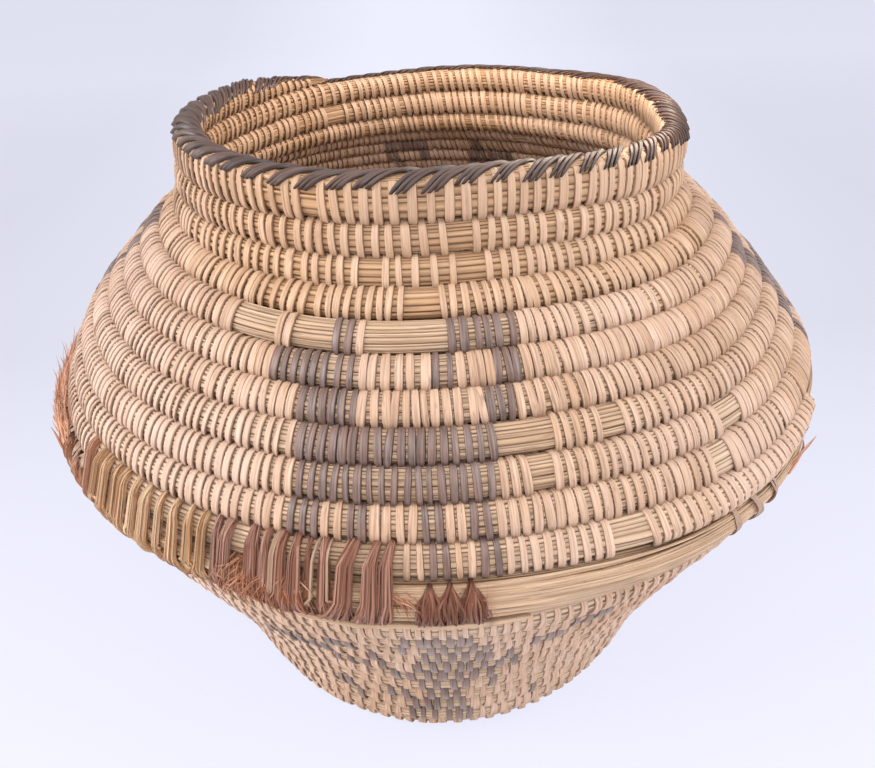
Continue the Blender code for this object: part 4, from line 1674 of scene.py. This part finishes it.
@dataclass
class Studio:
    """The pale sweep, the lights and the camera.

    A row of the glow is where it starts and ends, in metres, and its strength there.
    """

    eye: Place = (0.0, -0.500, 0.5127)
    pitch: float = 0.52283
    roll: float = -0.045028
    focal: float = 783.6
    middle: tuple[float, float] = (-2.75, -43.0)

    SENSOR = 36.0
    NEAREST = 0.01
    SWEEP_SIZE = 6.0
    SWEEP_FROM = 2.5
    SWEEP_CURVE = 0.35
    UNDER_FOOT = -0.0003
    GLOW = (0.84, 0.85, 1.0, 1.0)
    SEEN = (0.08, 0.08, 0.085, 1.0)
    BOUNCE = (0.75, 0.73, 0.76, 1.0)
    ROOM = (0.95, 0.96, 1.0, 1.0)
    ROOM_STRENGTH = 0.66
    GLOW_NEAR = (-0.3, 0.4, 0.93, 0.74)
    GLOW_FAR = (0.4, 2.2, 0.0, 0.13)
    GLOW_BESIDE = (0.15, 0.8, 0.05, -0.08)
    BESIDE_FROM = (-0.1, 0.3, 0.0, 1.0)
    PAPER_ROUGHNESS = 0.9
    SWEEP_STEPS = 60
    LAMPS = (
        Lamp("left_box", (-1.5, -0.4, 0.95), 1.0, 26.0),
        Lamp("right_box", (1.5, -0.2, 0.95), 1.0, 16.5),
        Lamp("front_box", (0.1, -1.5, 1.3), 1.0, 13.5, (1.0, 0.985, 0.97)),
        Lamp("top_box", (0.0, -0.4, 1.6), 1.2, 7.0, (1.0, 0.985, 0.97)),
        Lamp("mouth_fill", (0.12, -0.02, 0.475), 0.16, 0.6, (1.0, 0.84, 0.68), (-0.2, 0.08, 0.33)),
    )

    def camera(self) -> None:
        """Adds the camera that the photograph was taken with."""
        data = bpy.data.cameras.new("photograph")
        data.sensor_width = self.SENSOR
        data.sensor_fit = "HORIZONTAL"
        data.lens = self.focal * data.sensor_width / IMAGE_WIDTH
        data.shift_x = -self.middle[0] / IMAGE_WIDTH
        data.shift_y = self.middle[1] / IMAGE_WIDTH
        data.clip_start = self.NEAREST
        camera = bpy.data.objects.new("photograph", data)
        forward = Vector((0.0, math.cos(self.pitch), -math.sin(self.pitch)))
        right = Vector((1.0, 0.0, 0.0))
        above = right.cross(forward)
        turned = right * math.cos(self.roll) + above * math.sin(self.roll)
        upright = above * math.cos(self.roll) - right * math.sin(self.roll)
        columns = Matrix((turned, upright, -forward)).transposed().to_4x4()
        camera.matrix_world = Matrix.Translation(self.eye) @ columns
        bpy.context.scene.collection.objects.link(camera)
        bpy.context.scene.camera = camera

    def hang(self, lamp: Lamp) -> None:
        """Adds a soft lamp.

        Args:
            lamp: the lamp.
        """
        data = bpy.data.lights.new(lamp.name, "AREA")
        data.size = lamp.size
        data.energy = lamp.power
        data.color = lamp.colour
        hung = bpy.data.objects.new(lamp.name, data)
        hung.location = lamp.place
        hung.rotation_euler = (Vector(lamp.aim) - Vector(lamp.place)).to_track_quat("-Z", "Y").to_euler()
        bpy.context.scene.collection.objects.link(hung)

    def sweep(self) -> None:
        """Adds the floor that curves up behind the basket."""
        shape = bmesh.new()
        bmesh.ops.create_grid(shape, x_segments=2, y_segments=self.SWEEP_STEPS, size=self.SWEEP_SIZE)
        for vertex in shape.verts:
            vertex.co.z = self.UNDER_FOOT + self.SWEEP_CURVE * max(vertex.co.y - self.SWEEP_FROM, 0.0) ** 2
        mesh = bpy.data.meshes.new("pale_sweep")
        shape.to_mesh(mesh)
        shape.free()
        mesh.shade_smooth()
        floor = bpy.data.objects.new("pale_sweep", mesh)
        floor.data.materials.append(self.paper())
        bpy.context.scene.collection.objects.link(floor)

    def paper(self) -> bpy.types.Material:
        """The pale lavender paper, which looks brighter to the camera than it lights.

        Returns:
            The material, whose glow is set by where on the paper a point is.
        """
        material = bpy.data.materials.new("pale_paper")
        material.use_nodes = True
        wiring = Wiring(material.node_tree)
        shader = material.node_tree.nodes["Principled BSDF"]
        shader.inputs["Roughness"].default_value = self.PAPER_ROUGHNESS
        shader.inputs["Emission Color"].default_value = self.GLOW
        seen = wiring.add("ShaderNodeLightPath", {}, {}).outputs["Is Camera Ray"]
        place = wiring.add("ShaderNodeTexCoord", {}, {}).outputs["Object"]
        parts = wiring.add("ShaderNodeSeparateXYZ", {}, {0: place})
        back = parts.outputs[1]
        # The glow's changes with place are painted light, as the lamps' light falls off: bright in front of
        # the basket, dimmer behind it and to the sides, and a little brighter again far back.
        beside = wiring.ranged(wiring.maths("ABSOLUTE", parts.outputs[0]), *self.GLOW_BESIDE)
        beside = wiring.maths("MULTIPLY", beside, wiring.ranged(back, *self.BESIDE_FROM))
        near, far = wiring.ranged(back, *self.GLOW_NEAR), wiring.ranged(back, *self.GLOW_FAR)
        glow = wiring.maths("ADD", near, far)
        glow = wiring.maths("ADD", glow, beside)
        wiring.tree.links.new(wiring.mixed(seen, self.BOUNCE, self.SEEN), shader.inputs["Base Color"])
        wiring.tree.links.new(wiring.maths("MULTIPLY", seen, glow), shader.inputs["Emission Strength"])
        return material

    def world(self) -> None:
        """Sets the even light of the room."""
        world = bpy.data.worlds.new("soft_room")
        bpy.context.scene.world = world
        world.use_nodes = True
        background = world.node_tree.nodes["Background"]
        background.inputs["Color"].default_value = self.ROOM
        background.inputs["Strength"].default_value = self.ROOM_STRENGTH

    def build(self) -> None:
        """Builds the whole studio."""
        self.camera()
        self.sweep()
        self.world()
        for lamp in self.LAMPS:
            self.hang(lamp)
        bpy.context.scene.view_settings.view_transform = "Standard"


BINDINGS: tuple[tuple[str, tuple[tuple[Ribbon, ...], ...], Finish, str], ...] = (
    ("bark_lashing", (
        (Ribbon(-5.4, -7.0, 5.0, 6.5, 35, bulge=3.0),),
        (Ribbon(-6.8, -9.0, 4.5, 8.0, 38, bulge=3.6),),
        (
            Ribbon(-8.9, -12.2, 4.0, 10.0, 46, bulge=3.8, end=-150.0),
            Ribbon(-9.6, -12.4, 3.0, 5.0, 20, end=-80.0),
        ),
        (Ribbon(-12.8, -12.1, 5.0, 6.5, 31, bulge=2.4, end=-122.0, ragged=9.0),),
        (
            Ribbon(-15.8, -15.8, 5.0, 7.0, 35, bulge=2.6, end=-136.0),
            Ribbon(-14.5, -14.1, 2.0, 4.0, 10, end=-120.0, ragged=14.0, tones=(0.0, 0.4)),
        ),
        (
            Ribbon(-17.2, -18.4, 3.5, 9.0, 39, bulge=3.0, end=-130.0, ragged=16.0, tones=(0.0, 0.5)),
            Ribbon(-19.3, -18.9, 5.0, 6.0, 29, end=-78.0),
        ),
        (
            Ribbon(-20.9, -19.3, 2.5, 4.0, 14, end=-116.0, ragged=16.0, tones=(0.0, 0.4)),
            Ribbon(-20.9, -21.7, 5.0, 4.0, 21, end=-64.0, ragged=10.0),
        ),
        (
            Ribbon(-24.0, -24.6, 6.0, 6.0, 31, end=-64.0, bulge=2.6),
            Ribbon(-25.6, -25.0, 3.0, 5.0, 13, end=-110.0, ragged=16.0),
        ),
    ), Finish.BARK, "bark"),
    ("ochre_lashing", (
        (
            Ribbon(-27.4, -27.6, 5.0, 6.0, 23, bulge=0.8, end=-130.0, ragged=16.0),
            Ribbon(-29.6, -29.0, 4.0, 6.0, 18, bulge=1.6, end=-76.0),
        ),
        (
            Ribbon(-31.8, -31.3, 5.0, 6.5, 26, bulge=1.4, end=-134.0, ragged=16.0),
            Ribbon(-34.4, -33.8, 5.0, 5.0, 20, bulge=0.6, end=-100.0, ragged=20.0),
        ),
        (
            Ribbon(-36.8, -36.2, 6.0, 7.0, 29, bulge=0.8, end=-134.0, ragged=16.0),
            Ribbon(-39.0, -38.4, 4.0, 5.0, 17, bulge=1.6, end=-90.0, ragged=16.0),
        ),
        (
            Ribbon(-41.5, -40.8, 7.0, 7.0, 29, bulge=1.4, end=-134.0, ragged=16.0),
            Ribbon(-43.4, -42.8, 4.0, 5.0, 16, bulge=0.6, end=-110.0, ragged=20.0),
        ),
        (
            Ribbon(-45.6, -45.2, 6.0, 8.0, 29, bulge=0.8, end=-134.0, ragged=16.0),
            Ribbon(-47.5, -47.0, 5.0, 6.0, 18, bulge=1.6, end=-84.0),
        ),
    ), Finish.OCHRE_BARK, "ochre_bark"),
    ("red_lashing", (
        (Ribbon(-50.5, -49.5, 7.0, 11.0, 36, bulge=0.8, tones=(0.3, 1.0)),),
        (Ribbon(-54.5, -53.0, 8.0, 14.0, 47, -40.0, -140.0, 0.8, over_row=False),),
        (Ribbon(-59.5, -57.5, 10.0, 16.0, 55, -36.0, -140.0, 1.2, over_row=False),),
        (Ribbon(-65.0, -63.0, 12.0, 18.0, 60, -34.0, -140.0, 1.8, over_row=False),),
    ), Finish.RED_BARK, "red_bark"),
    ("fibre_tuft", tuple(
        (Ribbon(top, bottom, 2.5, width, fibres, start, end, bulge, loose=1.5, fibre_width=0.9,
                over_row=False, spread=0.4, ragged=7.0),)
        for top, bottom, width, fibres, start, end, bulge in (
            (-1.7, -1.8, 8.2, 40, -26.0, -158.0, 2.4),
            (0.4, 0.3, 8.8, 42, -22.0, -158.0, 2.6),
            (2.6, 2.8, 7.8, 38, -18.0, -156.0, 2.4),
        )
    ), Finish.TUFT, "bark"),
    ("splint_tie", tuple(
        (Ribbon(top, bottom, 3.0, 3.0, 2, 4.0, bulge=bulge, fibre_width=3.0, over_row=False),)
        for top, bottom, bulge in ((35.2, 36.4, 2.4), (39.0, 40.4, 0.6), (43.5, 44.8, 0.2))
    ), Finish.PALE_SPLINT, "pale_splint"),
)
BELLY_STITCHES = tuple(
    Ribbon(-52.0 - 1.45 * number, -51.6 - 1.45 * number, 3.0, 3.0, 2, 8.0, -62.0, 0.6, fibre_width=2.8,
           tones=(0.3, 1.0), over_row=False)
    for number in range(20)
)
BELLY_SPLINTS = BELLY_STITCHES + tuple(
    Ribbon(top, bottom, 1.2, 1.2, 2, end=end, bulge=bulge, fibre_width=2.2, tones=(0.6, 1.0))
    for top, bottom, end, bulge in (
        (-17.6, -18.8, -84.0, 4.0), (-13.4, -14.4, -92.0, 5.0), (-12.1, -12.0, -72.0, 4.0),
    )
)
LOOSE_FIBRES = (
    LooseFibres("edge_fibres", 34, (-19.0, -9.0), (-8.0, -3.0), (-150.0, -132.0), (-6.0, 8.0),
                (0.0, 1.0), 151, 0.55 * MM),
    LooseFibres("crossed_fibres", 60, (-23.5, -17.5), (-3.0, 3.0), (-60.0, -15.0), (-95.0, -50.0),
                (1.0, 4.5), 152, 0.5 * MM),
    LooseFibres("left_fringe", 170, (-76.0, -58.0), (-15.0, -6.0), (-105.0, -35.0), (-20.0, 30.0),
                (1.0, 7.0), 153, 0.55 * MM),
    LooseFibres("left_wisps", 26, (-84.0, -70.0), (-9.0, -3.0), (-90.0, -50.0), (-20.0, 40.0),
                (4.0, 12.0), 155, 0.4 * MM),
    LooseFibres("tuft_wisps", 22, (1.6, 4.4), (-1.0, 1.6), (-60.0, -30.0), (-90.0, -20.0),
                (1.0, 3.0), 156, 0.4 * MM),
    LooseFibres("messy_fibres", 90, (-24.5, -15.5), (-3.0, 3.0), (-30.0, 0.0), (-95.0, -35.0),
                (2.0, 5.5), 157, 0.6 * MM),
    LooseFibres("end_fibre", 3, (47.0, 50.0), (7.0, 11.0), (-70.0, -50.0), (-40.0, -10.0),
                (2.0, 8.0), 158, 0.7 * MM),
    LooseFibres("front_wisps", 14, (-6.0, -4.0), (0.5, 2.5), (-60.0, -30.0), (-60.0, -20.0),
                (0.5, 2.0), 154, 0.45 * MM),
)


@dataclass
class Basket:
    """The whole basket."""

    winding: Winding
    workshop: Workshop
    pattern: SteppedPattern = field(default_factory=SteppedPattern)
    patches: BarePatches = field(default_factory=BarePatches)

    STRAWS = 20
    COILS = (
        ("base_straw", 0, 168, Stretch.BASE, Finish.STRAW, "base_straw"),
        ("lower_wall_straw_1", 168, 290, Stretch.LOWER_WALL, Finish.STRAW, "wall_straw"),
        ("lower_wall_straw_2", 290, 408, Stretch.LOWER_WALL, Finish.STRAW, "wall_straw"),
        ("belly_straw", 408, 432, Stretch.BELLY, Finish.BARE_STRAW, "exposed_straw"),
        ("shoulder_straw", 432, 600, Stretch.SHOULDER, Finish.STRAW, "wall_straw"),
        ("neck_straw", 600, 662, Stretch.NECK, Finish.NECK_STRAW, "neck_straw"),
        ("rim_straw", 662, 686, Stretch.RIM, Finish.NECK_STRAW, "neck_straw"),
    )
    BELLY_STRAWS = 26
    BELLY_COIL = {
        "ring_length": 6.0 * MM, "valley": 1.2 * MM, "unevenness": 0.6 * MM, "tip_rings": 30,
        "at_belly": True, "dim": (413.7, 416.9),
    }
    RIM_COIL = {"rise_share": 0.93}
    LOW_RUN = StitchRun(0.6, 407.9, 6.1 * MM, 31)
    HIGH_RUN = StitchRun(432.1, 685.6, 5.7 * MM, 32)
    LOW_WIDTH = 3.8 * MM
    HIGH_WIDTH = 3.55 * MM
    SEWN = (
        ("base_sewing", 0, 168, (0.2, 0.9)),
        ("low_wall_sewing", 168, 300, (0.2, 1.0)),
        ("high_wall_sewing", 300, 408, (0.2, 1.0)),
        ("low_shoulder_sewing", 432, 516, (0.25, 1.0)),
        ("high_shoulder_sewing", 516, 600, (0.25, 1.0)),
        ("neck_sewing", 600, 686, (0.1, 1.0)),
    )
    DARK_WIDTH = 0.96
    COIL_SEED = 11
    SEWING_SEED = 41
    DARK_SEED = 61
    LASHING_SEED = 101
    SPLINT_SEED = 140

    def straw(self) -> None:
        """Builds the straw of every stretch."""
        special = {Stretch.BELLY: self.BELLY_COIL, Stretch.RIM: self.RIM_COIL}
        for seed, (name, first, last, stretch, finish, slot) in enumerate(self.COILS, start=self.COIL_SEED):
            straws = self.BELLY_STRAWS if stretch is Stretch.BELLY else self.STRAWS
            coil = StrawCoil(name, first, last, straws, seed, **special.get(stretch, {}))
            self.workshop.deliver(coil.build(self.winding), finish, slot, (stretch.node,))

    def sew(self) -> None:
        """Sews the coil with pale splints and with the dark stepped figures."""
        low = (self.LOW_RUN.places(self.winding), self.LOW_RUN.pitch, self.LOW_WIDTH)
        high = (self.HIGH_RUN.places(self.winding), self.HIGH_RUN.pitch, self.HIGH_WIDTH)
        for number, (name, first, last, tone) in enumerate(self.SEWN):
            places, pitch, width = low if first < Stretch.BELLY.first else high
            chosen = places[(places >= first) & (places < last)]
            chosen = chosen[~self.patches.bare(chosen)]
            dark = self.pattern.dark(chosen)
            pale = Sewing(name, chosen[~dark], pitch, width, self.SEWING_SEED + number, tone)
            finish = Finish.NECK_SPLINT if first == Stretch.NECK.first else Finish.PALE_SPLINT
            self.workshop.deliver(pale.build(self.winding), finish, "pale_splint", ())
            if dark.any():
                seed = self.DARK_SEED + number
                figure = Sewing(name + "_dark", chosen[dark], pitch, width * self.DARK_WIDTH, seed)
                self.workshop.deliver(figure.build(self.winding), Finish.DARK_SPLINT, "dark_splint", ())

    def tie(self) -> None:
        """Ties the belly bundle on with bark fibre and splints."""
        seeds = itertools.count(self.LASHING_SEED)
        for name, bands, finish, slot in BINDINGS:
            for number, ribbons in enumerate(bands, start=1):
                band = Lashing(f"{name}_{number}_fibres", ribbons, next(seeds))
                self.workshop.deliver(band.build(self.winding), finish, slot, (f"{name}_{number}",))
        splints = Lashing("belly_splints", BELLY_SPLINTS, self.SPLINT_SEED)
        self.workshop.deliver(splints.build(self.winding), Finish.PALE_SPLINT, "pale_splint", ())
        for fibres in LOOSE_FIBRES:
            self.workshop.deliver(fibres.build(self.winding), Finish.RED_BARK, "red_bark", ())

    def build(self) -> None:
        """Builds every piece of the basket in order."""
        self.straw()
        self.sew()
        self.tie()
        rest = (
            (BaseButton(), Finish.STRAW, "base_straw", ("base_start",)),
            (Overcast(), Finish.RIM_SPLINT, "dark_splint", ("rim_binding",)),
            (LedgeRod(), Finish.ROD, "rod_wood", ("ledge_rod",)),
            (LooseEnd(), Finish.BARE_STRAW, "exposed_straw", ()),
            (UnderBelly(), Finish.STRAW, "exposed_straw", ()),
        )
        for part, finish, slot, nodes in rest:
            self.workshop.deliver(part.build(self.winding), finish, slot, nodes)
        LOG.info("whole basket: %d triangles", self.workshop.faces)


def main() -> None:
    """Builds the basket and its studio."""
    logging.basicConfig(level=logging.INFO, format="%(message)s")
    Studio().build()
    Basket(Winding(), Workshop(Palette())).build()


if __name__ == "__main__":
    main()
